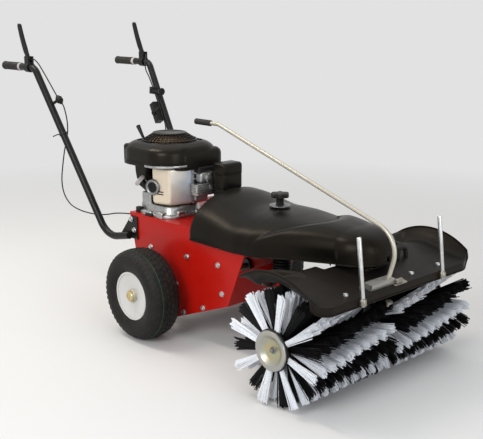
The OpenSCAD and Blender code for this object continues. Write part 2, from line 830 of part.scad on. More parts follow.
module base_outline(share) {
  size = base_size * share;
  translate(base_place - size / 2) rounded_rect(size, base_r * share);
}

module crankcase() {
  color("#a9acae") framed() difference() {
    union() {
      translate([0, 0, deck_z]) linear_extrude(height = base_t) base_outline(1);
      translate([0, 0, deck_z]) linear_extrude(height = base_h) base_outline(base_top_share);
      at_crank() translate([0, 0, deck_z]) cylinder(d = case_d, h = cover_z - cover_base_t - deck_z);
    }
    at_crank() translate([0, 0, deck_z - overrun]) cylinder(d = crank_d + 2 * run_gap, h = cover_z - deck_z + overrun);
    for (s = engine_bolt_shares) engine_bolt_place(s) translate([0, 0, -base_t - overrun]) cylinder(d = bolt_d, h = base_t + 2 * overrun);
    translate([filler_foot[0], filler_foot[1], deck_z + base_t - side_gap]) cylinder(d = filler_d + 2 * run_gap, h = base_h);
  }
}

module cover_outline(inset) {
  side = cover_w - 2 * inset;
  translate([-side / 2, -side / 2]) rounded_rect([side, side], cover_corner_r - inset);
}

module cylinder_block() {
  block_h = cover_z - cover_base_t - deck_z - block_foot;
  color("#9c9fa2") framed() difference() {
    union() {
      translate([crank_x, crank_y, cover_z - cover_base_t]) linear_extrude(height = cover_base_t) cover_outline(0);
      translate([block_x, block_y, deck_z + block_foot]) cube([block_l, block_w, block_h]);
      for (i = [0 : fin_count - 1])
        translate([block_x, block_y, deck_z + block_foot + (i + 0.5) * block_h / fin_count])
          cube([block_l + fin_out, block_w + fin_out, fin_t]);
      y_bar(exhaust_x, deck_z + exhaust_rise, block_y - exhaust_l, block_y, exhaust_d);
    }
    at_crank() translate([0, 0, deck_z]) cylinder(d = case_d, h = cover_z - cover_base_t - deck_z);
    at_crank() translate([0, 0, deck_z]) cylinder(d = crank_d + 2 * run_gap, h = engine_h);
  }
}

module fan_cover() {
  color("#26262a") framed() at_crank() translate([0, 0, cover_z]) difference() {
    for (s = cover_step_shares) linear_extrude(height = cover_h * s[0]) cover_outline(cover_w * s[1]);
    for (s = cover_step_shares) translate([0, 0, -overrun]) linear_extrude(height = cover_h * s[0] - cover_wall + overrun) cover_outline(cover_w * s[1] + cover_wall);
    cylinder(d = grille_foot_d - 4 * cover_wall, h = cover_h + overrun);
  }
}

module starter_cover() {
  foot = grille_foot_d / 2;
  top = grille_top_d / 2;
  color("#1c1c1f") framed() at_crank() translate([0, 0, cover_z + cover_h]) difference() {
    rotate_extrude() polygon([
      [foot - 4 * cover_wall, 0], [foot, 0], [top, grille_h], [0, grille_h], [0, grille_h - cover_wall], [top - 2 * cover_wall, grille_h - cover_wall]]);
    for (i = [0 : grille_slots - 1]) rotate([0, 0, i * 360 / grille_slots])
      translate([top, -slot_w / 2, grille_h * (1 - grille_slot_share) / 2]) cube([foot, slot_w, grille_h * grille_slot_share]);
  }
}

function shield_inset(p) = let (c = (shield_points[0] + shield_points[2]) / 2) c + (p - c) * shield_wall_share;

module muffler_shield() {
  a = shield_points[0];
  b = shield_points[1];
  spot = mix(a, b, outlet_share);
  out = unit([(b - a)[1], -(b - a)[0], 0]);
  color("#c3bfb6") framed() translate([0, 0, deck_z + shield_rise]) {
    difference() {
      linear_extrude(height = shield_h) polygon(shield_points);
      translate([0, 0, shield_h * (1 - shield_wall_share)]) linear_extrude(height = shield_h * (2 * shield_wall_share - 1))
        polygon([for (p = shield_points) shield_inset(p)]);
    }
    along([spot[0], spot[1], shield_h * outlet_rise_share], out)
      difference() {
        cylinder(d = outlet_d, h = outlet_l);
        translate([0, 0, outlet_l / 2]) cylinder(d = outlet_d - outlet_l, h = outlet_l);
      }
  }
}

module air_cleaner() {
  color("#17171a") framed() translate([air_place[0], air_place[1], deck_z + air_place[2]]) difference() {
    cube(air_size);
    translate([air_wall, air_wall, air_wall]) cube([air_size[0] - 2 * air_wall, air_size[1] - 2 * air_wall, air_size[2] - 2 * air_wall]);
  }
}

module carburettor() {
  x0 = block_x + block_l + fin_out;
  color("#8b8e92") framed() translate([x0, carb_y - carb_d / 2, deck_z + carb_rise]) {
    rotate([0, 90, 0]) cylinder(d = carb_d, h = air_place[0] - x0);
    translate([(air_place[0] - x0) / 2, 0, -carb_d / 2 - carb_bowl_h / 2]) cylinder(d = carb_bowl_d, h = carb_bowl_h);
  }
}

filler_points = [
  [filler_foot[0], filler_foot[1], deck_z + base_t], [filler_foot[0], filler_foot[1], deck_z + filler_knee_rise],
  [filler_top[0], filler_top[1], deck_z + filler_top_rise]];
filler_dir = unit(filler_points[2] - filler_points[1]);

module oil_filler() color("#1a1a1c") framed() swept_pipe(bent_route(filler_points, [filler_r]), filler_d, filler_wall, pipe_sides);

module oil_cap() {
  color("#9a9c9e") framed() along(filler_points[2] + filler_dir * side_gap, filler_dir) {
    cylinder(d = cap_d, h = cap_t);
    translate([0, 0, -cap_plug_l]) cylinder(d = (filler_d - 2 * filler_wall) * cos(180 / pipe_sides) - 2 * run_gap, h = cap_plug_l);
  }
}

module starter_grip() {
  color("#131315") framed() translate([starter_place[0], starter_place[1], cover_z + cover_h + starter_lift]) rotate([0, starter_tilt, 0]) {
    cylinder(d1 = starter_d, d2 = starter_tip_d, h = starter_l);
  }
}

// Crank group

module pulley_shape(d, bore) {
  groove_d = d - 4 * belt_t;
  lip = (pulley_t - groove_t) / 2;
  rotate_extrude() polygon([
    [bore / 2, 0], [d / 2, 0], [d / 2, lip], [groove_d / 2, lip + belt_t / 4], [groove_d / 2, pulley_t - lip - belt_t / 4],
    [d / 2, pulley_t - lip], [d / 2, pulley_t], [bore / 2, pulley_t]]);
}

module crankshaft() {
  foot = belt_z1 - pulley_t / 2 - plate_t;
  color("#b9bcc0") framed() at_crank() translate([0, 0, foot]) cylinder(d = crank_d, h = cover_z + flywheel_lift + flywheel_t + plate_t - foot);
}

module flywheel() {
  color("#77797c") framed() at_crank() translate([0, 0, cover_z + flywheel_lift]) difference() {
    cylinder(d = flywheel_d, h = flywheel_t);
    translate([0, 0, -overrun]) cylinder(d = crank_d, h = flywheel_t + 2 * overrun);
  }
}

module drive_pulley() color("#6b6e72") framed() at_crank() translate([0, 0, belt_z1 - pulley_t / 2]) pulley_shape(drive_pulley_d, crank_d);

// Belt: a band round both pulleys, in the plane through their grooves

function belt_loop(r1, r2, span) = let (lean = asin((r2 - r1) / span)) concat(
  [for (k = [0 : belt_steps]) let (a = mix(90 + lean, 270 - lean, k / belt_steps)) [cos(a), sin(a)] * r1],
  [for (k = [0 : belt_steps]) let (a = mix(-90 - lean, 90 + lean, k / belt_steps)) [span, 0] + [cos(a), sin(a)] * r2]);

module drive_belt() {
  a = [crank_x, crank_y, belt_z1];
  b = [reach, 0, belt_z2];
  run = unit(b - a);
  side = unit(cross([0, 0, 1], run));
  r1 = drive_pulley_d / 2 - 2 * belt_t + groove_gap;
  r2 = driven_pulley_d / 2 - 2 * belt_t + groove_gap;
  color("#0d0d0e") framed() set_frame(run, side, cross(run, side), a) translate([0, 0, -belt_w / 4]) linear_extrude(height = belt_w / 2) difference() {
    polygon(belt_loop(r1 + belt_t, r2 + belt_t, norm(b - a)));
    polygon(belt_loop(r1, r2, norm(b - a)));
  }
}

// Wheels

module at_wheel() translate([0, track / 2, axle_z]) rotate([-90, 0, 0]) children();

module tyre_shape() {
  h = (tyre_d - rim_d) / 2;
  at_wheel() rotate_extrude() translate([rim_d / 2, -tyre_w / 2]) difference() {
    rounded_rect([h, tyre_w], shoulder_r);
    translate([tyre_wall, tyre_wall]) rounded_rect([h - 2 * tyre_wall, tyre_w - 2 * tyre_wall], shoulder_r - tyre_wall);
  }
}

module rim_shape() {
  barrel_r = rim_d / 2 - barrel_t;
  at_wheel() difference() {
    rotate_extrude() {
      translate([barrel_r, -rim_w / 2]) square([barrel_t, rim_w]);
      polygon([[hub_d / 2, face_z - face_t - face_dish], [face_r, face_z - face_t], [barrel_r, face_z - face_t], [barrel_r, face_z],
        [face_r, face_z], [hub_d / 2, face_z - face_dish]]);
      translate([axle_d / 2, -hub_in]) square([(hub_d - axle_d) / 2, hub_in + hub_out]);
    }
    translate([0, 0, hub_out - pin_inset]) rotate([90, 0, 0]) cylinder(d = pin_d, h = hub_d + 2 * overrun, center = true);
  }
}

module axle_shape() {
  at_wheel() {
    difference() {
      translate([0, 0, axle_in - track / 2]) cylinder(d = axle_d, h = track / 2 - axle_in + hub_out);
      translate([0, 0, hub_out - pin_inset]) rotate([90, 0, 0]) cylinder(d = pin_d, h = axle_d + 2 * overrun, center = true);
    }
    translate([0, 0, hub_out - pin_inset]) {
      rotate([90, 0, 0]) cylinder(d = pin_d, h = hub_d + ring_t, center = true);
      rotate_extrude() translate([hub_d / 2 + ring_t / 2 + side_gap, 0]) circle(d = ring_t);
    }
  }
}

module tyre_right() color("#1a1a1b") framed() on_left(false) tyre_shape();
module tyre_left() color("#1a1a1b") framed() on_left(true) tyre_shape();
module rim_right() color("#e9e9e6") framed() on_left(false) rim_shape();
module rim_left() color("#e9e9e6") framed() on_left(true) rim_shape();
module axle_right() color("#b59a4a") framed() on_left(false) axle_shape();
module axle_left() color("#b59a4a") framed() on_left(true) axle_shape();

// Arm that carries the brush head, hinged in the chassis

module brush_arm() {
  color("#b81616") framed() difference() {
    union() {
      y_bar(pivot_x, pivot_z, -boss_l / 2, boss_l / 2, boss_d);
      xz_plate(-arm_w / 2, arm_w) polygon([
        [pivot_x, pivot_z + boom_root_h / 2], [reach, arm_z + arm_t], [reach, arm_z], [reach - bearing_ring_d / 2, arm_z], [pivot_x, pivot_z - boom_root_h / 2]]);
      translate([reach, 0, arm_z]) cylinder(d = bearing_ring_d, h = arm_t);
    }
    y_bar(pivot_x, pivot_z, -boss_l / 2 - overrun, boss_l / 2 + overrun, pivot_d + 2 * run_gap);
    translate([reach, 0, arm_z - overrun]) cylinder(d = journal_d + 2 * run_gap, h = arm_t + 2 * overrun);
    translate([knob_x, 0, pivot_z - boom_root_h]) cylinder(d = spindle_d + 2 * run_gap, h = arm_z + arm_t - pivot_z + 2 * boom_root_h);
  }
}

// Height of the boom's upper and lower edge at the spindle
boom_share = (knob_x - pivot_x) / (reach - pivot_x);
boom_top_z = mix(pivot_z + boom_root_h / 2, arm_z + arm_t, boom_share);
boom_low_z = mix(pivot_z - boom_root_h / 2, arm_z, (knob_x - pivot_x) / (reach - bearing_ring_d / 2 - pivot_x));
boom_rake = (arm_z + arm_t - pivot_z - boom_root_h / 2) / (reach - pivot_x);

// Hood: rings from the back to the nose, each an arch from the right edge over the top to the left edge

function hood_low(x) = deck_z - hood_drop + max(0, x - hood_taper_x) / (reach + nose_r - hood_taper_x) * (hood_drop - hood_lift - hood_lift);
function hood_half(x) = x <= hood_taper_x ? hood_w / 2 : mix(hood_w / 2, nose_r, (x - hood_taper_x) / (reach - hood_taper_x));
function hood_back_ring(s) = [mix(hood_back_x, reach, s[0]), hood_half(mix(hood_back_x, reach, s[0])), mix(hood_top_z, hood_seat_z, s[1])];
function hood_nose_ring(turn) = let (x = reach + nose_r * sin(turn))
  [x, nose_r * cos(turn), mix(hood_low(x), mix(hood_top_z, hood_seat_z, hood_line_shares[len(hood_line_shares) - 1][1]), pow(cos(turn), nose_round_share))];
hood_outer = concat([for (s = hood_line_shares) hood_back_ring(s)], [for (i = [1 : nose_turns]) hood_nose_ring(i * nose_end_turn / nose_turns)]);
hood_inner = [for (r = hood_outer) let (nose = max(0, r[0] - reach) / nose_r)
  [r[0] - hood_t * nose, max(hood_t / 4, r[1] - hood_t), max(hood_low(r[0]) + hood_t / 4, r[2] - hood_t)]];
function hood_round(x) = mix(back_round_share, front_round_share, ease((x - round_start_x) / (round_end_x - round_start_x)));
// The first and last points close the upright skirt under the arch
function arch(r, j) = let (
    a = 180 * (min(hood_rings - 2, max(1, j)) - 1) / (hood_rings - 3), c = cos(a), n = hood_round(r[0]),
    low = hood_low(r[0]), foot = j == 0 || j == hood_rings - 1 ? low : low + min(skirt_h, (r[2] - low) / 2))
  [r[0], -sign(c) * pow(abs(c), n) * r[1], foot == low ? low : foot + (r[2] - foot) * pow(max(0, sin(a)), n)];

module hood() {
  outer = [for (r = hood_outer, j = [0 : hood_rings - 1]) arch(r, j)];
  inner = [for (r = hood_inner, j = [0 : hood_rings - 1]) arch(r, j)];
  color("#2a2826") framed() difference() {
    polyhedron(points = concat(outer, inner), faces = sheet_faces(len(hood_outer), hood_rings));
    translate([knob_x, 0, hood_seat_z - washer_d]) cylinder(d = spacer_d + 2 * side_gap, h = 2 * washer_d);
  }
}

module hood_spacer() {
  seat = hood_seat_z + washer_t;
  color("#c2b98f") framed() difference() {
    union() {
      translate([knob_x, 0, boom_top_z]) rotate([0, -atan(boom_rake), 0]) cylinder(d = spacer_d, h = spacer_d / 2);
      translate([knob_x, 0, boom_top_z + spacer_d / 4]) cylinder(d = spacer_d, h = seat - boom_top_z - spacer_d / 4);
      translate([knob_x, 0, seat]) cylinder(d = washer_d, h = washer_t);
    }
    translate([knob_x, 0, boom_top_z - spacer_d]) cylinder(d = spindle_d + 2 * run_gap, h = seat + washer_d - boom_top_z + spacer_d);
  }
}

knob_z = hood_seat_z + 2 * washer_t + side_gap;

module height_knob() {
  color("#141415") framed() translate([knob_x, 0, knob_z]) difference() {
    union() {
      cylinder(d = knob_neck_d, h = knob_neck_h + knob_h / 4);
      translate([0, 0, knob_neck_h]) linear_extrude(height = knob_h) {
        circle(d = knob_d - lobe_d);
        for (i = [0 : lobe_count - 1]) rotate([0, 0, (i + 0.25) * 360 / lobe_count]) translate([(knob_d - lobe_d) / 2, 0]) circle(d = lobe_d);
      }
    }
    translate([0, 0, -overrun]) cylinder(d = spindle_d, h = knob_neck_h + knob_h / 2 + overrun);
  }
}

shelf_top_z = axle_z + shelf_rise;

module height_spindle() {
  foot = shelf_top_z - 2 * shelf_t;
  color("#b9bcc0") framed() translate([knob_x, 0, foot]) cylinder(d = spindle_d, h = knob_z + knob_neck_h + knob_h / 2 - foot);
}

module height_bellows() {
  foot = shelf_top_z + side_gap;
  span = boom_low_z - spacer_d / 2 - foot;
  pitch = span / (2 * bellows_ribs);
  outer = [for (i = [0 : 2 * bellows_ribs]) [(i % 2 == 0 ? bellows_root_d : bellows_d) / 2, i * pitch]];
  inner = [for (i = [2 * bellows_ribs : -1 : 0]) [(i % 2 == 0 ? bellows_root_d : bellows_d) / 2 - bellows_wall, i * pitch]];
  color("#111112") framed() translate([knob_x + bellows_ahead, 0, foot]) rotate_extrude() polygon(concat(outer, inner));
}

// Swivel head

module brush_gearbox() {
  top = arm_z + arm_t + side_gap;
  color("#2b2c2e") framed() translate([reach, 0, 0]) difference() {
    union() {
      y_bar(0, brush_z, -head_case_w / 2, head_case_w / 2, head_case_d);
      translate([-neck_l / 2, -neck_w / 2, brush_z]) cube([neck_l, neck_w, arm_z - side_gap - flange_t - brush_z]);
      translate([0, 0, arm_z - side_gap - flange_t]) cylinder(d = flange_d, h = flange_t);
      translate([0, 0, arm_z - side_gap - flange_t]) cylinder(d = journal_d, h = top - arm_z + side_gap + flange_t);
    }
    y_bar(0, brush_z, -head_case_w / 2 - overrun, head_case_w / 2 + overrun, brush_shaft_d + 2 * run_gap);
    y_bar(0, brush_z, crown_y - crown_t - side_gap, crown_y + side_gap, crown_d + 4 * side_gap);
    translate([0, 0, brush_z + brush_shaft_d / 2 + side_gap]) cylinder(d = input_d + 2 * run_gap, h = top);
  }
}

module input_shaft() {
  foot = brush_z + crown_d / 2 + 4 * side_gap;
  color("#b9bcc0") framed() translate([reach, 0, foot]) cylinder(d = input_d, h = belt_z2 + pulley_t - foot);
}

module driven_pulley() color("#6b6e72") framed() translate([reach, 0, belt_z2 - pulley_t / 2]) pulley_shape(driven_pulley_d, input_d);

// Guard: a sheet about the brush axis, flat over the middle, with upturned wings

function flat_rise(s) = ease((s - flat_shares[0]) / (flat_shares[1] - flat_shares[0])) * (1 - ease((s - flat_shares[2]) / (flat_shares[3] - flat_shares[2])));
function plane_r(s, turn) = floor_r / cos(min(turn, mix(floor_end_turn, flat_turn, flat_rise(s))) - floor_turn);
function back_turn(s) = s <= notch_share ? notch_turn : s <= notch_end_share ? middle_turn
  : mix(mix(middle_turn, flat_turn, flat_rise(s)), wing_turn, ease((s - wing_start_share) / (wing_full_share - wing_start_share)))
    - wing_corner_turn * pow(max(0, s - corner_start_share) / (1 - corner_start_share), 2);
function front_turn(s) = lip_turn + corner_turn * pow(max(0, s - corner_start_share) / (1 - corner_start_share), 2);
function wing_rise(s, turn) = let (
    end = pow(max(0, s - rim_start_share) / (1 - rim_start_share), 2),
    rear = s < wing_start_share ? 0 : ease((s - wing_start_share) / (wing_full_share - wing_start_share))
      * ease((turn - back_turn(s) + rear_rim_turn) / rear_rim_turn))
  1 - (1 - end) * (1 - rear);
function guard_r(s, turn) = mix(plane_r(s, turn), max(floor_r + rim_h, floor_r), wing_rise(s, turn));
function guard_spot(y, turn, r) = [reach + r * cos(turn), y, brush_z + r * sin(turn)];
function guard_row(side, s, j, depth) = let (
    lip = j == 0,
    turn = lip ? front_turn(s) - lip_drop_turn : mix(front_turn(s), back_turn(s), (j - 1) / (guard_rows - 2)),
    r = lip ? guard_r(s, front_turn(s)) * lip_draw_share : guard_r(s, turn))
  guard_spot(side * s * guard_w / 2, turn, r - depth);
guard_stations = concat([for (i = [len(guard_shares) - 1 : -1 : 1]) [-1, guard_shares[i]]], [for (s = guard_shares) [1, s]]);

module brush_guard() {
  outer = [for (g = guard_stations, j = [0 : guard_rows - 1]) guard_row(g[0], g[1], j, 0)];
  inner = [for (g = guard_stations, j = [0 : guard_rows - 1]) guard_row(g[0], g[1], j, guard_t)];
  color("#2b2a28") framed() polyhedron(points = concat(outer, inner), faces = sheet_faces(len(guard_stations), guard_rows));
}

// Places on the guard floor, from the distance before the brush axis
function floor_z(ahead) = brush_z + floor_r / cos(floor_tilt) - ahead * tan(floor_tilt);

module on_floor(ahead, y) translate([reach + ahead, y, floor_z(ahead)]) rotate([0, floor_tilt, 0]) children();

module guard_frame() {
  color("#b8a55e") framed() difference() {
    on_floor(bar_reach, 0) {
      translate([-bar_w / 2, -bar_l / 2, -guard_t - bar_h]) cube([bar_w, bar_l, bar_h]);
      translate([-bar_reach, -spine_w / 2, -guard_t - bar_h - spine_h]) cube([bar_reach + bar_w / 2, spine_w, spine_h]);
    }
    translate([reach - neck_l, -neck_w, brush_z]) cube([neck_l * 3 / 2, 2 * neck_w, brush_d]);
  }
}

module head_bolts() {
  color("#c9ccd0") framed() for (s = guard_bolt_shares) on_floor(bar_reach, s * bar_l / 2) hex_bolt(guard_t);
}

module post_place() translate([post_x, post_y, post_foot_z]) rotate([0, -post_lean, 0]) children();

module guard_posts() {
  color("#c4c6c4") framed() both_sides() post_place() {
    cylinder(d = post_d, h = post_l);
    translate([-post_clip_w, -post_clip_l / 2, post_clip_h / 4]) cube([post_clip_w + post_clip_l / 2, post_clip_l, post_clip_h]);
  }
}

rod_foot = [reach + rod_foot_reach, bracket_y, floor_z(rod_foot_reach) + rod_foot_rise - bracket_h / 2];
rod_points = [
  rod_foot, [reach + rod_bend_reach, bracket_y, rod_foot[2] + rod_bend_rise + bracket_h],
  [rod_knee_x, bracket_y, rod_h], [rod_tail_x, bracket_y, rod_h]];

module rod_bracket() {
  color("#c4c6c4") framed() difference() {
    on_floor(rod_foot_reach, 0) translate([-bracket_w / 2, bracket_y + bracket_tail - bracket_l, 0]) cube([bracket_w, bracket_l, bracket_h]);
    along(rod_points[0], rod_points[1] - rod_points[0]) cylinder(d = rod_d, h = rod_bend_rise);
  }
}

module steering_rod() color("#d3cfbd") framed() swept_rod(bent_route(rod_points, [rod_bend_r, rod_knee_r]), rod_d, pipe_sides);

module rod_grip() {
  color("#1b1b1c") framed() translate(rod_points[3] - [face_t, 0, 0]) rotate([0, 90, 0]) difference() {
    cylinder(d = rod_grip_d, h = rod_grip_l);
    translate([0, 0, face_t]) cylinder(d = rod_d, h = rod_grip_l);
  }
}

// Brush

module at_brush() translate([reach, 0, brush_z]) children();

module brush_shaft() {
  end = brush_l / 2 - end_bolt_h;
  color("#a9acb0") framed() at_brush() {
    y_bar(0, 0, -end, end, brush_shaft_d);
    y_bar(0, 0, crown_y - crown_t, crown_y, crown_d);
  }
}

module brush_discs() {
  color("#c9b66c") framed() at_brush() both_sides() translate([0, half_outer, 0]) rotate([-90, 0, 0]) {
    rotate_extrude() {
      translate([brush_shaft_d / 2, 0]) square([(disc_d - brush_shaft_d) / 2, disc_t]);
      translate([disc_d / 2 - disc_lip_w, 0]) square([disc_lip_w, disc_lip_t]);
    }
    translate([0, 0, disc_lip_t]) cylinder(d = end_bolt_d, h = end_bolt_h, $fn = 6);
  }
}

// One ring of tufts: a slice of the core with a strand for each row
module tuft_ring(y, turn) {
  translate([0, y, 0]) rotate([-90, 0, 0]) {
    difference() {
      cylinder(d = core_d, h = tuft_pitch);
      translate([0, 0, -overrun]) cylinder(d = brush_shaft_d, h = tuft_pitch + 2 * overrun);
    }
    for (k = [0 : rows - 1]) rotate([0, 0, -turn - k * row_pitch])
      translate([core_d / 2 - strand_root, 0, tuft_pitch / 2]) rotate([0, 90, 0])
        cylinder(d = strand_w, h = brush_d / 2 - core_d / 2 + strand_root, $fn = 4);
  }
}

// Rings of one colour: every second slice of both halves
module bristle_rings(first, shift) {
  at_brush() for (i = [0 : tufts - 1]) {
    near = -half_outer + (2 * i + first) * tuft_pitch;
    far = half_inner + (2 * i + first) * tuft_pitch;
    tuft_ring(near, near_turn + shift + row_twist * (near + half_outer));
    tuft_ring(far, far_turn + shift + row_twist * (far - half_inner));
  }
}

module bristles_white() color("#e8ecf2") framed() bristle_rings(0, 0);
module bristles_black() color("#151516") framed() bristle_rings(1, row_pitch / 2);

side_plate_right();
side_plate_left();
top_deck();
front_panel();
wheel_gearbox();
axle_bearings();
frame_bolts();
handle_brackets();
handlebar_right();
handlebar_left();
hand_grips();
lever_clamps();
control_box();
cable_adjuster();
drive_cable();
brush_cable();
crankcase();
cylinder_block();
fan_cover();
starter_cover();
muffler_shield();
air_cleaner();
carburettor();
oil_filler();
drive_belt();
tyre_right();
rim_right();
axle_right();
tyre_left();
rim_left();
axle_left();
crankshaft();
flywheel();
drive_pulley();
brush_arm();
hood();
hood_spacer();
height_bellows();
height_knob();
height_spindle();
brush_gearbox();
brush_guard();
guard_frame();
guard_posts();
rod_bracket();
steering_rod();
rod_grip();
head_bolts();
input_shaft();
driven_pulley();
brush_shaft();
brush_discs();
bristles_black();
bristles_white();
drive_lever();
brush_lever();
throttle_lever();
selector_lever();
starter_grip();
oil_cap();
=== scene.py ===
import bpy
import bmesh
import json
import math
from mathutils import Matrix, Vector

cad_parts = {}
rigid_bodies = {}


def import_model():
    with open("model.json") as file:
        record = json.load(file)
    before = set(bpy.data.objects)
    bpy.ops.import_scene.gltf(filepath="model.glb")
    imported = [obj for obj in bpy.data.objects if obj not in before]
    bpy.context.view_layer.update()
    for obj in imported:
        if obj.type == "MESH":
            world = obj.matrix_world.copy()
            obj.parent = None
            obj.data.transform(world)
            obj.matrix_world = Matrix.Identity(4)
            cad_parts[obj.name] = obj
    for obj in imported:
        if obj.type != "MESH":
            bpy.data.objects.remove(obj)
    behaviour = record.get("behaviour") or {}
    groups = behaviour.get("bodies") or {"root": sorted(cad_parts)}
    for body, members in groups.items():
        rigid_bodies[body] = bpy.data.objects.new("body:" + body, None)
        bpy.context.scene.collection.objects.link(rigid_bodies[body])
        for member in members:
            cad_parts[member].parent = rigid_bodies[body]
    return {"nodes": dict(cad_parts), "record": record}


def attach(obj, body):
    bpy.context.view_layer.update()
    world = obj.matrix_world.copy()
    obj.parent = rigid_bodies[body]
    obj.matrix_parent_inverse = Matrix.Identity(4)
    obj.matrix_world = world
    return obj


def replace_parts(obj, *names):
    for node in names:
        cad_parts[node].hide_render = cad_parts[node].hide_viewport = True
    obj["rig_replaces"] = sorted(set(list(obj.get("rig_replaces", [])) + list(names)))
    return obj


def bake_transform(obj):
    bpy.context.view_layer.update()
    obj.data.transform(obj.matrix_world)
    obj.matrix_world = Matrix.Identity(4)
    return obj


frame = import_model()
nodes = frame["nodes"]
bodyOf = {n: b for b, members in frame["record"]["behaviour"]["bodies"].items() for n in members}
slotOf = {s["node"]: s["material_slot"] for s in frame["record"]["subparts"]}
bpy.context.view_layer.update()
print("frame loaded:", len(nodes), "nodes")

mm = 0.001
axleX = 0.026775  # where the wheel axle stands along the frame's X
upright, forward = (0, 0, 1), (1, 0, 0)


def at(x, y, z):  # millimetres from the ground under the middle of the axle
    return Vector((x * mm + axleX, y * mm, z * mm))


def mix(a, b, t):
    return a + (b - a) * t


def ease(t):
    t = min(1.0, max(0.0, t))
    return t * t * (3 - 2 * t)


def circle(steps):  # the angles of one turn
    return [2 * math.pi * k / steps for k in range(steps)]


def camel(words):
    first, *rest = words.split("_")
    return first + "".join(w.capitalize() for w in rest)


def smoothLine(points, x):  # a soft curve through (x, value) pairs
    for i in range(len(points) - 1):
        x0, v0 = points[i]
        x1, v1 = points[i + 1]
        if x <= x1 or i == len(points) - 2:
            before = points[max(i - 1, 0)]
            after = points[min(i + 2, len(points) - 1)]
            s0 = (v1 - before[1]) / max(x1 - before[0], 1e-9)
            s1 = (after[1] - v0) / max(after[0] - x0, 1e-9)
            h = x1 - x0
            t = min(1.0, max(0.0, (x - x0) / h))
            return ((2 * t**3 - 3 * t**2 + 1) * v0 + (t**3 - 2 * t**2 + t) * h * s0
                    + (3 * t**2 - 2 * t**3) * v1 + (t**3 - t**2) * h * s1)


# Sockets as numbers: maths on a Wire adds the Math nodes
class Wire:
    def __init__(self, graph, socket):
        self.graph = graph
        self.socket = socket

    def maths(self, operation, *others):
        return self.graph.maths(operation, self, *others)

    def __add__(self, other): return self.maths("ADD", other)
    def __radd__(self, other): return self.graph.maths("ADD", other, self)
    def __sub__(self, other): return self.maths("SUBTRACT", other)
    def __rsub__(self, other): return self.graph.maths("SUBTRACT", other, self)
    def __mul__(self, other): return self.maths("MULTIPLY", other)
    def __rmul__(self, other): return self.graph.maths("MULTIPLY", other, self)
    def __truediv__(self, other): return self.maths("DIVIDE", other)
    def __rtruediv__(self, other): return self.graph.maths("DIVIDE", other, self)
    def __mod__(self, other): return self.maths("MODULO", other)
    def __rmod__(self, other): return self.graph.maths("MODULO", other, self)


def tone(shade):  # a grey may be given as one number
    return (*shade, 1) if hasattr(shade, "__len__") else (shade, shade, shade, 1)


class Graph:
    def __init__(self, tree):
        self.tree = tree

    def node(self, kind, settings=None, inputs=None, out=0):
        made = self.tree.nodes.new(kind)
        for name, value in (settings or {}).items():
            if name == "stops":
                ramp = made.color_ramp
                while len(ramp.elements) < len(value):
                    ramp.elements.new(0.5)
                for stop, (place, shade) in zip(ramp.elements, value):
                    stop.position = place
                    stop.color = tone(shade)
            else:
                setattr(made, name, value)
        for key, value in (inputs or {}).items():
            if isinstance(value, Wire):
                self.tree.links.new(value.socket, made.inputs[key])
            else:
                made.inputs[key].default_value = value
        return Wire(self, made.outputs[out])

    def maths(self, operation, *values):
        return self.node("ShaderNodeMath", {"operation": operation}, dict(enumerate(values)))

    def vector(self, x=0.0, y=0.0, z=0.0):
        return self.node("ShaderNodeCombineXYZ", {}, {0: x, 1: y, 2: z})

    def length(self, vector):
        return self.node("ShaderNodeVectorMath", {"operation": "LENGTH"}, {0: vector}, out="Value")

    def lean(self, x=0.0, y=0.0, z=0.0):
        return self.node("FunctionNodeEulerToRotation", {}, {0: self.vector(x, y, z)})

    def box(self, long, wide, high):
        return self.node("GeometryNodeMeshCube", {}, {"Size": self.vector(long, wide, high)})

    def spots(self, count, place):
        return self.node("GeometryNodePoints", {}, {"Count": count, "Position": place, "Radius": 0.001})

    def copies(self, points, shape, rotation, **scale):
        return self.node("GeometryNodeInstanceOnPoints", {},
                         {"Points": points, "Instance": shape, "Rotation": rotation, **scale})


# Finishes
class Finish(Graph):
    sockets = {"color": "Base Color", "roughness": "Roughness", "metallic": "Metallic", "coat": "Coat Weight",
               "coatRoughness": "Coat Roughness", "normal": "Normal", "specular": "Specular IOR Level",
               "specularTint": "Specular Tint"}

    def __init__(self, name, **fixed):
        self.material = bpy.data.materials.new(name)
        self.material.use_nodes = True
        super().__init__(self.material.node_tree)
        self.bsdf = self.tree.nodes["Principled BSDF"]
        for key, value in fixed.items():
            self.set(key, value)
        self.place = self.node("ShaderNodeTexCoord", out="Object")

    def set(self, key, value):
        socket = self.bsdf.inputs[self.sockets[key]]
        if isinstance(value, Wire):
            self.tree.links.new(value.socket, socket)
        else:
            socket.default_value = (*value, 1) if hasattr(value, "__len__") else value

    def noise(self, scale, detail=3.0):
        return self.node("ShaderNodeTexNoise", {},
                         {"Vector": self.place, "Scale": scale, "Detail": detail, "Roughness": 0.55})

    def ramp(self, value, *stops):
        return self.node("ShaderNodeValToRGB", {"stops": stops}, {"Fac": value})

    def blend(self, a, b, factor):
        a, b = (c if isinstance(c, Wire) else tone(c) for c in (a, b))
        return self.node("ShaderNodeMix", {"data_type": "RGBA"}, {0: factor, 6: a, 7: b}, out=2)

    def bump(self, height, strength, distance):
        sizes = {"Height": height, "Strength": strength, "Distance": distance}
        self.set("normal", self.node("ShaderNodeBump", {}, sizes))

    def along(self, axis):
        return self.node("ShaderNodeSeparateXYZ", {}, {"Vector": self.place}, out=axis)


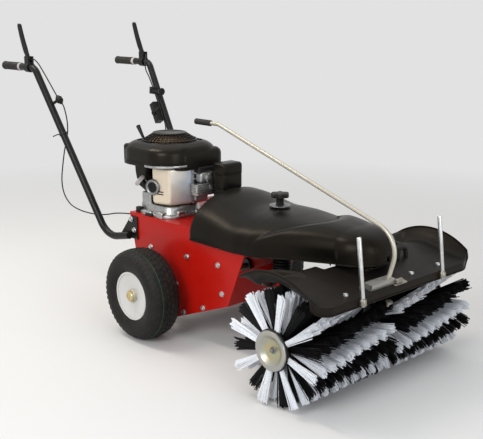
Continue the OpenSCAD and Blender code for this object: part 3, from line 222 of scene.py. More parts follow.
# A tint in clouds, a roughness that wanders and a fine grain. Cloud and wear: a noise, then its ramp's stops
def layered(name, color, tint, cloud, wear, grain=None, **fixed):
    f = Finish(name, **fixed)
    f.set("color", f.blend(color, tint, f.ramp(f.noise(*cloud[0]), *cloud[1:])))
    f.set("roughness", f.ramp(f.noise(*wear[0]), *wear[1:]))
    if grain:
        f.bump(f.noise(grain[0], 2.0), *grain[1:])
    return f.material


def paintFinish(name, color, dark, rough, coat, specular=0.4):
    return layered(name, color, dark, ((7.0, 4.0), (0.42, 0.0), (0.8, 0.5)),
                   ((24.0, 5.0), (0.3, rough * 0.85), (0.75, rough * 1.25)), (380.0, 0.10, 0.0006),
                   coat=coat, coatRoughness=0.06, specular=specular)


def plasticFinish(name, color, warm, rough, grain=0.12, scale=900.0, specular=0.35, glint=(1, 1, 1)):
    return layered(name, color, warm, ((5.0, 4.0), (0.35, 0.0), (0.75, 1.0)),
                   ((14.0, 6.0), (0.3, rough * 0.88), (0.72, rough * 1.14)), (scale, grain, 0.0006),
                   specular=specular, specularTint=glint)


def metalFinish(name, color, tint, rough, scale=60.0, grain=0.05, metallic=1.0):
    return layered(name, color, tint, ((scale, 5.0), (0.35, 0.0), (0.72, 1.0)),
                   ((scale * 0.4, 5.0), (0.3, rough * 0.75), (0.75, rough * 1.3)), (scale * 9, grain, 0.0005),
                   metallic=metallic)


# strands clouded at random with a darker tone: painted shade between the strands
def bristleFinish(name, root, tip, rough, specular):
    strand = (420.0, 1.0)
    return layered(name, root, tip, (strand, (0.3, 0.0), (0.7, 1.0)),
                   (strand, (0.3, rough * 0.8), (0.7, rough * 1.2)), specular=specular)


def tyreFinish(name, color, dusty, specular):
    dust = (30.0, 6.0)
    return layered(name, color, dusty, (dust, (0.45, 0.0), (0.8, 1.0)), (dust, (0.3, 0.5), (0.75, 0.72)),
                   (700.0, 0.15, 0.0006), specular=specular)


def shieldFinish(name, metallic):  # tan to the rear, bluish grey towards the front
    f = Finish(name, metallic=metallic)
    frontward = f.along(0) * 9.0 + f.noise(18.0, 4.0) * 0.35
    bare = f.blend((0.72, 0.61, 0.46), (0.82, 0.73, 0.60), f.noise(26.0, 5.0))
    f.set("color", f.blend(bare, (0.46, 0.51, 0.58), f.ramp(frontward, (0.16, 0.0), (0.42, 1.0))))
    f.set("roughness", f.ramp(f.noise(30.0), (0.3, 0.30), (0.75, 0.42)))
    return f.material


def discFinish(name, metallic):  # passivated zinc: grey at the rim, with yellow and green clouds in the middle
    f = Finish(name, metallic=metallic)
    ahead, rise = f.along(0) - (axleX + 0.731), f.along(2) - 0.183
    radius = (ahead * ahead + rise * rise).maths("SQRT")
    cloud = f.blend((0.50, 0.42, 0.22), (0.36, 0.42, 0.34), f.ramp(f.noise(46.0, 4.0), (0.40, 0.0), (0.65, 1.0)))
    rim = f.blend((0.40, 0.40, 0.38), (0.46, 0.43, 0.34), f.ramp(f.noise(34.0, 4.0), (0.45, 0.0), (0.75, 1.0)))
    f.set("color", f.blend(cloud, rim, f.ramp(radius * 10.0, (0.26, 0.0), (0.46, 1.0))))
    f.set("roughness", f.ramp(f.noise(60.0, 5.0), (0.3, 0.30), (0.75, 0.46)))
    f.bump(f.noise(260.0), 0.06, 0.0005)
    return f.material


# warm tint on the black plastics' highlights: painted warm reflection
warmGlint = (1.0, 0.88, 0.72)
tones = {
    paintFinish: {  # colour, darker clouds, roughness, coat, specular
        "redPaint": ((0.42, 0.006, 0.0025), (0.35, 0.005, 0.002), 0.34, 0.05, 0.2),
        "blackTube": (0.006, (0.011, 0.010, 0.009), 0.34, 0.0, 0.24),
        "whitePaint": ((0.61, 0.61, 0.60), (0.52, 0.51, 0.49), 0.36, 0.2),
    },
    plasticFinish: {  # colour, warmer clouds, roughness, grain and its scale, specular and its tint (a warm tint is painted warm reflection)
        "satinShell": ((0.0048, 0.0042, 0.0036), (0.0080, 0.0064, 0.0048), 0.34, 0.06, 1400.0, 0.12, (1.0, 0.86, 0.68)),
        "guardShell": ((0.008, 0.007, 0.006), (0.013, 0.010, 0.008), 0.40, 0.06, 1400.0, 0.10, warmGlint),
        "coverBlack": ((0.0055, 0.0050, 0.0044), (0.0090, 0.0076, 0.0060), 0.30, 0.08, 900.0, 0.18, warmGlint),
        "mouldedBlack": (0.006, (0.011, 0.010, 0.009), 0.42, 0.12, 900.0, 0.22),
        "gripRubber": ((0.010, 0.009, 0.008), (0.020, 0.018, 0.015), 0.62, 0.25, 500.0),
        "cableBlack": (0.006, 0.012, 0.40, 0.05),
        "beltRubber": (0.007, (0.014, 0.014, 0.013), 0.55, 0.2),
        "greyPlastic": ((0.40, 0.37, 0.36), (0.52, 0.49, 0.48), 0.42),
        "greenMark": ((0.035, 0.15, 0.05), (0.015, 0.05, 0.02), 0.6),
        # orange-tan for the cone under the grille: painted glint seen through the ribs
        "dustyTan": ((0.30, 0.18, 0.08), (0.09, 0.06, 0.04), 0.6),
        "slotDark": (0.002, 0.004, 0.7),
    },
    metalFinish: {  # colour, worn tint, roughness, scale of the wear, grain, metallic
        "castAlloy": (0.46, (0.33, 0.33, 0.32), 0.36, 90.0, 0.30),
        "darkAlloy": ((0.06, 0.06, 0.063), 0.03, 0.46, 90.0, 0.30),
        "brightSteel": ((0.70, 0.71, 0.71), (0.56, 0.56, 0.55), 0.36),
        "yellowZinc": ((0.68, 0.55, 0.24), (0.58, 0.50, 0.33), 0.30, 40.0),
        "creamZinc": ((0.50, 0.47, 0.40), (0.46, 0.43, 0.36), 0.42, 6.0, 0.0, 0.6),
        "dullZinc": ((0.36, 0.34, 0.29), (0.26, 0.24, 0.20), 0.42, 30.0),
        "greyIron": ((0.28, 0.28, 0.29), 0.20, 0.42, 80.0, 0.2),
    },
    bristleFinish: {  # darker colour (painted shade between strands), the strands' own colour, roughness, specular
        "bristleWhite": ((0.62, 0.66, 0.72), (0.96, 0.97, 1.0), 0.42, 0.3),
        "bristleBlack": ((0.003, 0.003, 0.0035), (0.009, 0.009, 0.010), 0.46, 0.12),
    },
    tyreFinish: {"tyreRubber": ((0.008, 0.0075, 0.007), (0.024, 0.020, 0.015), 0.22)},
    shieldFinish: {"shieldSteel": (0.6,)},
    discFinish: {"paleZinc": (0.85,)},
}
finishes = {name: make(name, *values) for make, rows in tones.items() for name, values in rows.items()}
print("finishes made:", len(finishes))


def finishOf(node):  # a slot's finish has the slot's name, but for the moulded pieces
    return "mouldedBlack" if slotOf[node] == "black_plastic" else camel(slotOf[node])


# Mesh tools
def meshFrom(bm, name):
    mesh = bpy.data.meshes.new(name)
    bm.to_mesh(mesh)
    bm.free()
    return mesh


def bmeshOf(*meshes):
    bm = bmesh.new()
    for mesh in meshes:
        bm.from_mesh(mesh)
    return bm


def tidied(bm):
    bmesh.ops.remove_doubles(bm, verts=bm.verts, dist=1e-6)
    bmesh.ops.dissolve_degenerate(bm, edges=bm.edges, dist=1e-6)
    bmesh.ops.recalc_face_normals(bm, faces=bm.faces)
    return bm


def addPiece(name, shape, node, finish=None, sharp=38, stands=True, rides=True):
    mesh = meshFrom(tidied(shape), name) if isinstance(shape, bmesh.types.BMesh) else shape
    obj = bpy.data.objects.new(name, mesh)
    bpy.context.scene.collection.objects.link(obj)
    mesh.materials.clear()
    mesh.materials.append(finishes[finish or finishOf(node)])
    mesh.polygons.foreach_set("use_smooth", [True] * len(mesh.polygons))
    mesh.set_sharp_from_angle(angle=math.radians(sharp))
    if rides:
        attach(obj, bodyOf[node])
    if stands:
        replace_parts(obj, node)
    return obj


def addTrim(name, shape, node, finish, sharp=38):  # goes with a node without standing for it
    return addPiece(name, shape, node, finish, sharp, stands=False)


def loft(rings, closed=True, caps=True, bm=None):  # quads between rings of points
    bm = bm or bmesh.new()
    made = [[bm.verts.new(p) for p in ring] for ring in rings]
    for a, b in zip(made, made[1:]):
        n = len(a)
        for k in range(n if closed else n - 1):
            m = (k + 1) % n
            bm.faces.new((a[k], a[m], b[m], b[k]))
    if caps and closed:
        bm.faces.new(list(reversed(made[0])))
        bm.faces.new(made[-1])
    return bm


def shellFrom(rings):  # an open sheet that faces up
    bm = loft(rings, closed=False)
    bmesh.ops.recalc_face_normals(bm, faces=bm.faces)
    if sum(f.normal.z for f in bm.faces) < 0:
        bmesh.ops.reverse_faces(bm, faces=bm.faces)
    return bm


def addWall(obj, thick):
    wall = obj.modifiers.new("wall", "SOLIDIFY")
    wall.thickness = thick
    wall.offset = -1


def tubeRings(points, directions, radius, sides):
    rings = []
    side = None
    for p, along in zip(points, directions):
        side = side or along.orthogonal().normalized()
        side = (side - along * side.dot(along)).normalized()
        up = along.cross(side)
        rings.append([p + (side * math.cos(a) + up * math.sin(a)) * radius for a in circle(sides)])
    return rings


def sweep(points, radius, sides=20, bm=None):  # a capped tube along a path
    steps = [(b - a).normalized() for a, b in zip(points, points[1:])]
    ways = [(a + b).normalized() for a, b in zip(steps[:1] + steps, steps + steps[-1:])]
    return loft(tubeRings(points, ways, radius, sides), bm=bm)


def closedSweep(points, radius, sides=8):  # a tube along a closed loop
    ways = [(b - a).normalized() for a, b in zip(points[-1:] + points, points[1:] + points[:1])]
    rings = tubeRings(points, ways, radius, sides)
    shift = min(range(sides), key=lambda k: (rings[-1][k] - rings[0][0]).length)
    return loft(rings + [rings[0][-shift:] + rings[0][:-shift]], caps=False)


def lathe(profile, centre, axis=upright, steps=64, bm=None):  # a closed outline of (radius, height) in millimetres
    axis = Vector(axis).normalized()
    side = axis.orthogonal().normalized()
    up = axis.cross(side)
    columns = [[centre + (side * math.cos(a) + up * math.sin(a)) * (r * mm) + axis * (h * mm) for r, h in profile]
               for a in circle(steps)]
    return loft(columns + columns[:1], caps=False, bm=bm)


def bendRoute(points, radii, steps=10):  # corners of a path turned into arcs
    route = [points[0]]
    for before, corner, after, radius in zip(points, points[1:], points[2:], radii):
        u, w = (corner - before).normalized(), (after - corner).normalized()
        turn = u.angle(w)
        hub = corner + (w - u).normalized() * radius / math.cos(turn / 2)
        first = (corner - u * radius * math.tan(turn / 2) - hub).normalized()
        second = u.cross(w).normalized().cross(first)
        angles = [turn * k / steps for k in range(steps + 1)]
        route += [hub + (first * math.cos(a) + second * math.sin(a)) * radius for a in angles]
    return route + [points[-1]]


def curvePoints(points, steps):  # extra points on a smooth curve through the given ones
    made = []
    for i in range(len(points) - 1):
        a, b, c, d = points[max(i - 1, 0)], points[i], points[i + 1], points[min(i + 2, len(points) - 1)]
        for t in [k / steps for k in range(steps)]:
            made.append(0.5 * (2 * b + (c - a) * t + (2 * a - 5 * b + 4 * c - d) * t * t
                               + (3 * b - a - 3 * c + d) * t**3))
    return made + [points[-1]]


def roundPoly(core, radius, steps=8):  # the outline at a distance round a convex core, anticlockwise
    made = []
    for i, (x, y) in enumerate(core):
        before, after = core[i - 1], core[(i + 1) % len(core)]
        first = math.atan2(y - before[1], x - before[0]) - math.pi / 2
        last = math.atan2(after[1] - y, after[0] - x) - math.pi / 2
        turn = (last - first) % (2 * math.pi)
        angles = [first + turn * k / steps for k in range(steps + 1)]
        made += [(x + radius * math.cos(a), y + radius * math.sin(a)) for a in angles]
    return made


def slab(core, radius, profile, place=at, steps=8, bm=None):  # profile of (height, inset) pairs
    return loft([[place(x, y, z) for x, y in roundPoly(core, max(radius - inset, 0.05), steps)]
                 for z, inset in profile], bm=bm)


def block(x0, x1, y0, y1, radius, profile, steps=8, bm=None, place=at):
    r = radius
    return slab([(x0 + r, y0 + r), (x1 - r, y0 + r), (x1 - r, y1 - r), (x0 + r, y1 - r)], r, profile, place, steps, bm)


def pillow(z0, z1, soft, low=None):  # heights and insets of a slab with rounded edges
    low = soft if low is None else low
    turns = [t * math.pi / 2 for t in (0, 0.3, 0.6, 0.85, 1)]
    bottom = [(z0 + low * (1 - math.cos(t)), low * (1 - math.sin(t))) for t in turns]
    return bottom + [(z1 - soft * (1 - math.cos(t)), soft * (1 - math.sin(t))) for t in reversed(turns)]


def blocks(rows, steps, bm=None, place=at):  # rows of x, y and corner radius, then the sizes of a pillow
    bm = bm or bmesh.new()
    for x0, x1, y0, y1, radius, *heights in rows:
        block(x0, x1, y0, y1, radius, pillow(*heights), steps, bm, place)
    return bm


softening = {"weld": 2e-6, "flat": math.radians(0.6), "sharpest": math.radians(34), "profile": 0.6}


def softenNode(node, width, finish=None, sharp=24, rides=True):  # a bevelled copy stands for a CAD node
    bm = bmeshOf(nodes[node].data)
    bmesh.ops.remove_doubles(bm, verts=bm.verts, dist=softening["weld"])
    bmesh.ops.dissolve_limit(bm, angle_limit=softening["flat"], verts=bm.verts, edges=bm.edges)
    edges = [e for e in bm.edges if len(e.link_faces) == 2 and e.calc_face_angle(0) > softening["sharpest"]]
    bmesh.ops.bevel(bm, geom=edges, offset=width * mm, segments=2, profile=softening["profile"], affect="EDGES",
                    clamp_overlap=True)
    return addPiece(camel(node), meshFrom(bm, camel(node)), node, finish, sharp, rides=rides)


# Camera
view = {"place": (2402.68, -2045.12, 1153.1), "azimuth": 47.33, "pitch": 13.70, "roll": -0.10, "lens": 63.97,
        "sensor": 36}
cameraData = bpy.data.cameras.new("photoCamera")
cameraData.lens = view["lens"]
cameraData.sensor_width = view["sensor"]
camera = bpy.data.objects.new("photoCamera", cameraData)
bpy.context.scene.collection.objects.link(camera)
turn, tilt, roll = (math.radians(view[key]) for key in ("azimuth", "pitch", "roll"))
back = Vector((math.sin(turn) * math.cos(tilt), -math.cos(turn) * math.cos(tilt), math.sin(tilt)))
camera.rotation_mode = "QUATERNION"
camera.rotation_quaternion = (-back).to_track_quat("-Z", "Y") @ Matrix.Rotation(roll, 4, "Z").to_quaternion()
camera.location = at(*view["place"])
bpy.context.scene.camera = camera
bpy.context.scene.view_settings.view_transform = "Standard"

# Bowden cables from the hand levers to the chassis
cables = {
    "diameter": 0.005,
    "drive": [(-757, -285, 962), (-736, -284, 963), (-714, -279, 948), (-696, -272, 922), (-656, -262, 867),
              (-620, -255, 820), (-598, -253, 802), (-577, -253, 782), (-562, -252, 738), (-567, -247, 700),
              (-577, -244, 670), (-585, -248, 636), (-590, -254, 600), (-597, -260, 545), (-606, -262, 488),
              (-607, -257, 440), (-592, -251, 406), (-556, -248, 384), (-500, -236, 370), (-440, -214, 364),
              (-380, -206, 372), (-330, -198, 384), (-290, -190, 390), (-256, -180, 392), (-222, -170, 392)],
    "brush": [(-757, 285, 962), (-738, 272, 952), (-732, 264, 926), (-731, 266, 896), (-716, 274, 860),
              (-680, 272, 802), (-642, 269, 738), (-613, 267, 692), (-588, 259, 655), (-556, 232, 612),
              (-520, 212, 566), (-480, 200, 520), (-440, 193, 462), (-400, 187, 420), (-350, 181, 394),
              (-300, 176, 384), (-256, 172, 388), (-222, 170, 392)],
}


def addCable(name, route, node):
    points = curvePoints([at(*p) for p in route], 4)
    data = bpy.data.curves.new(name, "CURVE")
    data.dimensions = "3D"
    data.bevel_depth = cables["diameter"] / 2
    data.bevel_resolution = 3
    data.use_fill_caps = True
    spline = data.splines.new("POLY")
    spline.points.add(len(points) - 1)
    for target, p in zip(spline.points, points):
        target.co = (*p, 1)
    data.materials.append(finishes["cableBlack"])
    obj = bpy.data.objects.new(name, data)
    bpy.context.scene.collection.objects.link(obj)
    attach(obj, "chassis")
    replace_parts(obj, node)
    length = sum((b - a).length for a, b in zip(points, points[1:]))
    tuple(points[0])


addCable("driveCable", cables["drive"], "drive_cable")
addCable("brushCable", cables["brush"], "brush_cable")
print("camera and cables placed")


# Node trees
def growTree(name, sizes, finish, build):  # a node tree with named sizes, ending in a realised, painted mesh
    tree = bpy.data.node_groups.new(name, "GeometryNodeTree")
    g = Graph(tree)
    tree.interface.new_socket("Spots", in_out="INPUT", socket_type="NodeSocketGeometry")
    for label, value in sizes.items():
        kind = "NodeSocketInt" if isinstance(value, int) else "NodeSocketFloat"
        tree.interface.new_socket(label, in_out="INPUT", socket_type=kind).default_value = value
    tree.interface.new_socket("Geometry", in_out="OUTPUT", socket_type="NodeSocketGeometry")
    entry = tree.nodes.new("NodeGroupInput")
    grown = build(g, {label: Wire(g, entry.outputs[label]) for label in ("Spots", *sizes)})
    solid = g.node("GeometryNodeRealizeInstances", {}, {"Geometry": grown})
    painted = g.node("GeometryNodeSetMaterial", {}, {"Geometry": solid, "Material": finishes[finish]})
    tree.links.new(painted.socket, tree.nodes.new("NodeGroupOutput").inputs["Geometry"])
    return tree


def grow(tree, name, spots=(), **values):  # runs a tree once, on points if given, and keeps its mesh
    holder = bpy.data.objects.new(name + "Tree", bpy.data.meshes.new(name + "Tree"))
    holder.data.from_pydata(list(spots), [], [])
    bpy.context.scene.collection.objects.link(holder)
    modifier = holder.modifiers.new("grow", "NODES")
    modifier.node_group = tree
    for item in tree.interface.items_tree:
        if item.in_out == "INPUT" and item.name in values:
            modifier[item.identifier] = values[item.name]
    bpy.context.view_layer.update()
    mesh = bpy.data.meshes.new_from_object(holder.evaluated_get(bpy.context.evaluated_depsgraph_get()))
    holder.modifiers.remove(modifier)
    bpy.data.objects.remove(holder)
    mesh.name = name
    return mesh


# Bristles: square tufts in rows along the core, one mesh for each colour and half
brush = {"reach": 731, "height": 183, "core": 40, "tip": 183, "rows": 8, "twist": 65.0, "nearTurn": 32, "farTurn": -20,
         "inner": 25, "outer": 384, "tufts": 10, "strand": 1.6, "strands": 4600, "ragged": 0.09, "stray": 6.0,
         "strayDeep": 3.2, "rootWide": 6.0, "tipWide": {"bristleWhite": 8.5, "bristleBlack": 14.0}, "rootDeep": 5.0,
         "tipDeep": 7.5, "splayIn": 15, "splayOut": 8, "seed": 4}
brushMiddle = at(brush["reach"], 0, brush["height"])


def bristleRows(g, size):
    index = g.node("GeometryNodeInputIndex")
    tufts = float(brush["tufts"])

    def chance(low, high, salt):
        return g.node("FunctionNodeRandomValue", {"data_type": "FLOAT"},
                      {"Min": low, "Max": high, "ID": index, "Seed": size["Seed"] + salt}, out=1)

    row = (index % size["Rows"]) * (360 / brush["rows"])
    tuft = (index / size["Rows"]).maths("FLOOR") % tufts
    along = (tuft + size["Phase"]) * size["Length"] / tufts
    turn = (size["First"] + row + size["Twist"] * along + chance(-2.0, 2.0, 8)) * (math.pi / 180)
    wide, deep = chance(-1.0, 1.0, 2), chance(-1.0, 1.0, 3)
    c, s = turn.maths("COSINE"), turn.maths("SINE")

    def spot(radius, across, depth):
        return (c * radius - s * across, size["Start"] + along + depth, s * radius + c * across)

    root = spot(size["Core"], wide * size["RootWide"], deep * size["RootDeep"])
    share = tuft / (tufts - 1)
    splay = share.maths("POWER", 5.0) * size["SplayEnd"] - (1.0 - share).maths("POWER", 5.0) * size["SplayStart"]
    stray = chance(-brush["stray"], brush["stray"], 4) * mm
    strayDeep = chance(-brush["strayDeep"], brush["strayDeep"], 6) * mm
    tip = spot(size["Tip"] * chance(1 - brush["ragged"], 1.0, 7), wide * size["TipWide"] + stray,
               deep * size["TipDeep"] + strayDeep + splay)
    aim = g.vector(*(b - a for a, b in zip(root, tip)))
    strand = g.node("GeometryNodeMeshCone", {"fill_type": "NGON"},
                    {"Vertices": 3, "Side Segments": 1, "Radius Top": size["Strand"],
                     "Radius Bottom": size["Strand"] * 0.8, "Depth": 1.0})
    leaned = g.node("FunctionNodeAlignRotationToVector", {"axis": "Z"}, {"Vector": aim})
    return g.copies(g.spots(size["Count"], g.vector(*root)), strand, leaned, Scale=g.vector(1.0, 1.0, g.length(aim)))


def addBristles():
    sizes = {"Count": brush["strands"], "Rows": float(brush["rows"]), "Start": 0.0, "First": 0.0, "Phase": 0.0,
             "Length": (brush["outer"] - brush["inner"]) * mm, "Twist": brush["twist"], "TipWide": 0.0,
             "SplayStart": 0.0, "SplayEnd": 0.0, "Seed": brush["seed"]}
    for key in ("core", "tip", "strand", "rootWide", "rootDeep", "tipDeep"):
        sizes[key[0].upper() + key[1:]] = brush[key] * mm
    inward, outward = brush["splayIn"] * mm, brush["splayOut"] * mm
    halves = (("Near", -brush["outer"], brush["nearTurn"], 1, outward, inward),
              ("Far", brush["inner"], brush["farTurn"], 2, inward, outward))
    for finish, node, shift, phase in (("bristleWhite", "bristles_white", 0, 0.25),
                                       ("bristleBlack", "bristles_black", 180 / brush["rows"], 0.75)):
        tree = growTree(finish + "Rows", sizes, finish, bristleRows)
        for half, start, first, seed, splayStart, splayEnd in halves:
            mesh = grow(tree, finish + half, Start=start * mm, First=float(first + shift), Phase=phase,
                        Seed=brush["seed"] * seed, SplayStart=splayStart, SplayEnd=splayEnd,
                        TipWide=brush["tipWide"][finish] * mm)
            mesh.transform(Matrix.Translation(brushMiddle))
            addPiece(finish + half, mesh, node, finish, stands=half == "Near")


addBristles()
print("bristles grown")

# Hood: a lofted shell with an upright skirt; the front bulge rises behind a curved crease
hood = {"back": 149, "taper": 431, "reach": 731, "half": 214, "nose": 118, "low": 372, "lowRise": 24,
        "skirt": 16, "wall": 0.004,
        "rearLine": [(149, 530), (201, 526), (254, 515), (312, 501), (358, 497), (400, 497), (460, 495), (520, 491),
                     (580, 486), (731, 474)],
        "frontLine": [(149, 500), (431, 500), (560, 501), (640, 501), (700, 497), (731, 494)],
        "rearRound": 0.95, "frontRound": 0.66, "roundStart": 250, "roundEnd": 640, "rearShare": 0.7,
        "crease": 423, "creaseRun": 182, "creasePower": 2.5, "creaseIn": 6, "creaseFade": 60, "bulge": 60,
        "groove": 1.6, "grooveWide": 6, "tuck": 10, "tuckStart": 470, "tuckRun": 120, "tuckHigh": 34,
        "noseRound": 0.55, "noseEnd": 87, "noseTurns": 22, "steps": 88, "arch": 60, "hem": 3.0,
        "floor": [(54, 390), (110, 390), (111, 391.5), (110, 393), (54, 393)],
        "apron": [(89, 368), (92, 368), (92, 391), (89, 391)], "apronStart": 124, "apronTurn": 112, "apronSteps": 28}


def hoodLow(x):
    return hood["low"] + max(0, x - hood["taper"]) / (hood["reach"] + hood["nose"] - hood["taper"]) * hood["lowRise"]


def archPoint(x, half, top, power, a):
    c, s = math.cos(a), math.sin(a)
    low = hoodLow(x)
    foot = low + min(hood["skirt"], (top - low) / 2)
    return Vector((x, -math.copysign(abs(c) ** power, c) * half, foot + (top - foot) * max(0, s) ** power))


def nosePoint(turn, a):
    c = math.cos(turn)
    x = hood["reach"] + hood["nose"] * math.sin(turn)
    top = mix(hoodLow(x), smoothLine(hood["frontLine"], hood["reach"]), c ** hood["noseRound"])
    return archPoint(x, hood["nose"] * c, top, hood["frontRound"], a)


def hoodPoint(x, a):
    slim = max(0, x - hood["taper"]) / (hood["reach"] - hood["taper"])
    half = mix(hood["half"], hood["nose"], slim)
    bend = ease((x - hood["roundStart"]) / (hood["roundEnd"] - hood["roundStart"]))
    power = mix(hood["rearRound"], hood["frontRound"], bend)
    front = archPoint(x, half, smoothLine(hood["frontLine"], x), power, a)
    power = mix(hood["rearRound"], hood["frontRound"], bend * hood["rearShare"])
    drawn = half - hood["creaseIn"] * ease((x - hood["crease"] + hood["creaseFade"]) / hood["creaseFade"])
    rear = archPoint(x, drawn, smoothLine(hood["rearLine"], x), power, a)
    crease = hood["crease"] + hood["creaseRun"] * (1 - abs(rear.y / half) ** hood["creasePower"])
    t = min(1, max(0, (x - crease) / hood["bulge"]))
    p = rear.lerp(front, 1 - (1 - t) ** 2)
    p.z -= hood["groove"] * math.exp(-((x - crease) / hood["grooveWide"]) ** 2)
    drop = ease((hoodLow(x) + hood["skirt"] + hood["tuckHigh"] - p.z) / hood["tuckHigh"])
    p.y *= 1 - hood["tuck"] / half * drop * ease((x - hood["tuckStart"]) / hood["tuckRun"])
    return p


def addHood():
    def ringOf(pointAt, spot):
        arch = [pointAt(spot, math.pi * k / hood["arch"]) for k in range(hood["arch"] + 1)]
        near, far = ([Vector((p.x, p.y, mix(hoodLow(p.x), p.z, t))) for t in (0, 0.34, 0.67)]
                     for p in (arch[0], arch[-1]))
        return [at(*p) for p in near + arch + far[::-1]]

    rings = [ringOf(hoodPoint, mix(hood["back"], hood["reach"], i / hood["steps"])) for i in range(hood["steps"] + 1)]
    end = math.radians(hood["noseEnd"])
    rings += [ringOf(nosePoint, end * i / hood["noseTurns"]) for i in range(1, hood["noseTurns"] + 1)]
    shell = addPiece("hoodShell", meshFrom(shellFrom(rings), "hood"), "hood", "satinShell", 50)
    addWall(shell, hood["wall"])
    lift = Vector((0, 0, hood["hem"] * mm))
    hem = [r[0] + lift for r in rings] + [r[-1] + lift for r in reversed(rings)]
    addTrim("hoodHem", sweep(hem, hood["hem"] * mm, 8), "hood", "satinShell")
    bm = lathe(hood["floor"], at(hood["reach"], 0, 0), steps=48)
    turns = [hood["apronStart"] + hood["apronTurn"] * k / hood["apronSteps"] for k in range(hood["apronSteps"] + 1)]
    loft([[at(hood["reach"] + r * math.cos(a), r * math.sin(a), z) for r, z in hood["apron"]]
          for a in map(math.radians, turns)], bm=bm)
    addTrim("hoodFloor", bm, "hood", "mouldedBlack", 30)


addHood()
print("hood lofted")

# Guard: flat over the middle, with wings that turn up to a rim. Turns are degrees round the brush, shares go along it
guard = {"half": 385, "floor": 196, "rim": 44, "wall": 0.0035, "floorTurn": 78.2, "floorEnd": 85, "lip": 43,
         "lipDrop": 5, "lipDraw": 0.935, "middle": 92, "wing": 131, "notch": 70, "corner": 9, "wingCorner": 6,
         "rearRim": 12, "notchShare": 0.16, "notchEnd": 0.21, "wingStart": 0.6, "wingFull": 0.79, "rimStart": 0.88,
         "cornerStart": 0.82, "flat": 97.2, "flatShares": (0.39, 0.45, 0.6, 0.7), "across": 160, "rows": 40, "hem": 2.4}


def guardFlat(s):  # one where the floor runs flat to its rear edge
    start, full, end, gone = guard["flatShares"]
    return ease((s - start) / (full - start)) * (1 - ease((s - end) / (gone - end)))


def wingShare(s):
    return ease((s - guard["wingStart"]) / (guard["wingFull"] - guard["wingStart"]))


def endShare(s, start):
    return (max(0, s - start) / (1 - start)) ** 2


def guardBack(s):
    if s <= guard["notchShare"]:
        return guard["notch"]
    grown = mix(mix(guard["middle"], guard["flat"], guardFlat(s)), guard["wing"], wingShare(s))
    if s < guard["notchEnd"]:
        opened = ease((s - guard["notchShare"]) / (guard["notchEnd"] - guard["notchShare"]))
        return min(grown, mix(guard["notch"], guard["middle"], opened))
    return grown - guard["wingCorner"] * endShare(s, guard["cornerStart"])


def guardRadius(s, turn):
    flatEnd = mix(guard["floorEnd"], guard["flat"], guardFlat(s))
    plane = guard["floor"] / math.cos(math.radians(min(turn, flatEnd) - guard["floorTurn"]))
    end = endShare(s, guard["rimStart"])
    rear = wingShare(s) * ease((turn - guardBack(s) + guard["rearRim"]) / guard["rearRim"])
    return mix(plane, guard["floor"] + guard["rim"], 1 - (1 - end) * (1 - rear))


def guardSpot(y, turn, r):
    a = math.radians(turn)
    return at(brush["reach"] + r * math.cos(a), y, brush["height"] + r * math.sin(a))


def addGuard():
    rings = []
    for share in [mix(-1, 1, i / guard["across"]) for i in range(guard["across"] + 1)]:
        s, y = abs(share), share * guard["half"]
        front, rear = guard["lip"] + guard["corner"] * endShare(s, guard["cornerStart"]), guardBack(s)
        lipEnd = guardRadius(s, front)
        lip = [guardSpot(y, front - guard["lipDrop"] * t, lipEnd * mix(1, guard["lipDraw"], t))
               for t in (1, 0.75, 0.5, 0.25, 0.1)]
        turns = [mix(front, rear, j / guard["rows"]) for j in range(guard["rows"] + 1)]
        rings.append(lip + [guardSpot(y, turn, guardRadius(s, turn)) for turn in turns])
    shell = addPiece("guardShell", meshFrom(shellFrom(rings), "guard"), "brush_guard", "guardShell", 60)
    addWall(shell, guard["wall"])
    loop = [r[0] for r in rings] + rings[-1][1:] + [r[-1] for r in reversed(rings[:-1])] + rings[0][-2:0:-1]
    addTrim("guardHem", closedSweep(loop, guard["hem"] * mm), "brush_guard", "guardShell", 60)


addGuard()
print("guard lofted")

# Engine: domed fan cover with a box on its near rear corner, a scoop in front and a duct under the box
engine = {"crank": (-135, -72), "cover": 608.5, "half": 150, "corner": 100,
          "dome": [(0, 3), (1, 0), (7, 0), (8, 2.5), (38, 3), (46, 5), (54, 10), (61, 18), (67, 28),
                   (71, 38), (73.5, 48), (69.5, 49)],
          "box": (-119, 20, -133, -50, 14, -14, 61, 11, 3), "scoop": (70, 150.5, -70, 144, 36, -22, 50, 24, 5),
          "skirt": [(-50, -50), (20, -50), (20, 0), (-50, 0)], "skirtEdge": [(-10, 3), (-9, 0), (2, 0)],
          "duct": (-137, -53, -74, -24, 14), "ductEdge": [(-86, 13), (-84, 8), (-60, 4), (0, 0)],
          "ribs": 38, "ribFoot": 101, "ribTop": 60, "ribMiddle": 695.5, "ribRise": 25, "ribWide": 2.0, "ribDeep": 5.0,
          "hoopFoot": (100, 685), "hoopTop": (62, 708), "hoops": [(0.0, 3.2), (0.26, 1.4), (0.52, 1.4), (0.78, 1.4)],
          "under": [(95, 680), (96, 680), (56, 703), (55, 703)],
          "disc": [(0, 705), (58, 705), (64, 706), (65, 709), (62, 711.5), (54, 712), (50, 710), (0, 711)]}
crankFoot = at(*engine["crank"], 0)


def onCrank(x, y, z):  # from the crank's axis at the foot of the fan cover
    return at(engine["crank"][0] + x, engine["crank"][1] + y, engine["cover"] + z)


def addFanCover():
    half, corner = engine["half"], engine["corner"]
    bm = block(-half, half, -half, half, corner, engine["dome"], 14, place=onCrank)
    blocks([engine["box"]], 8, bm, onCrank)
    blocks([engine["scoop"]], 10, bm, onCrank)
    slab(engine["skirt"], corner + 2, engine["skirtEdge"], onCrank, 14, bm)
    block(*engine["duct"], engine["ductEdge"], 8, bm, onCrank)
    addPiece("fanCover", bm, "fan_cover", "coverBlack", 32)


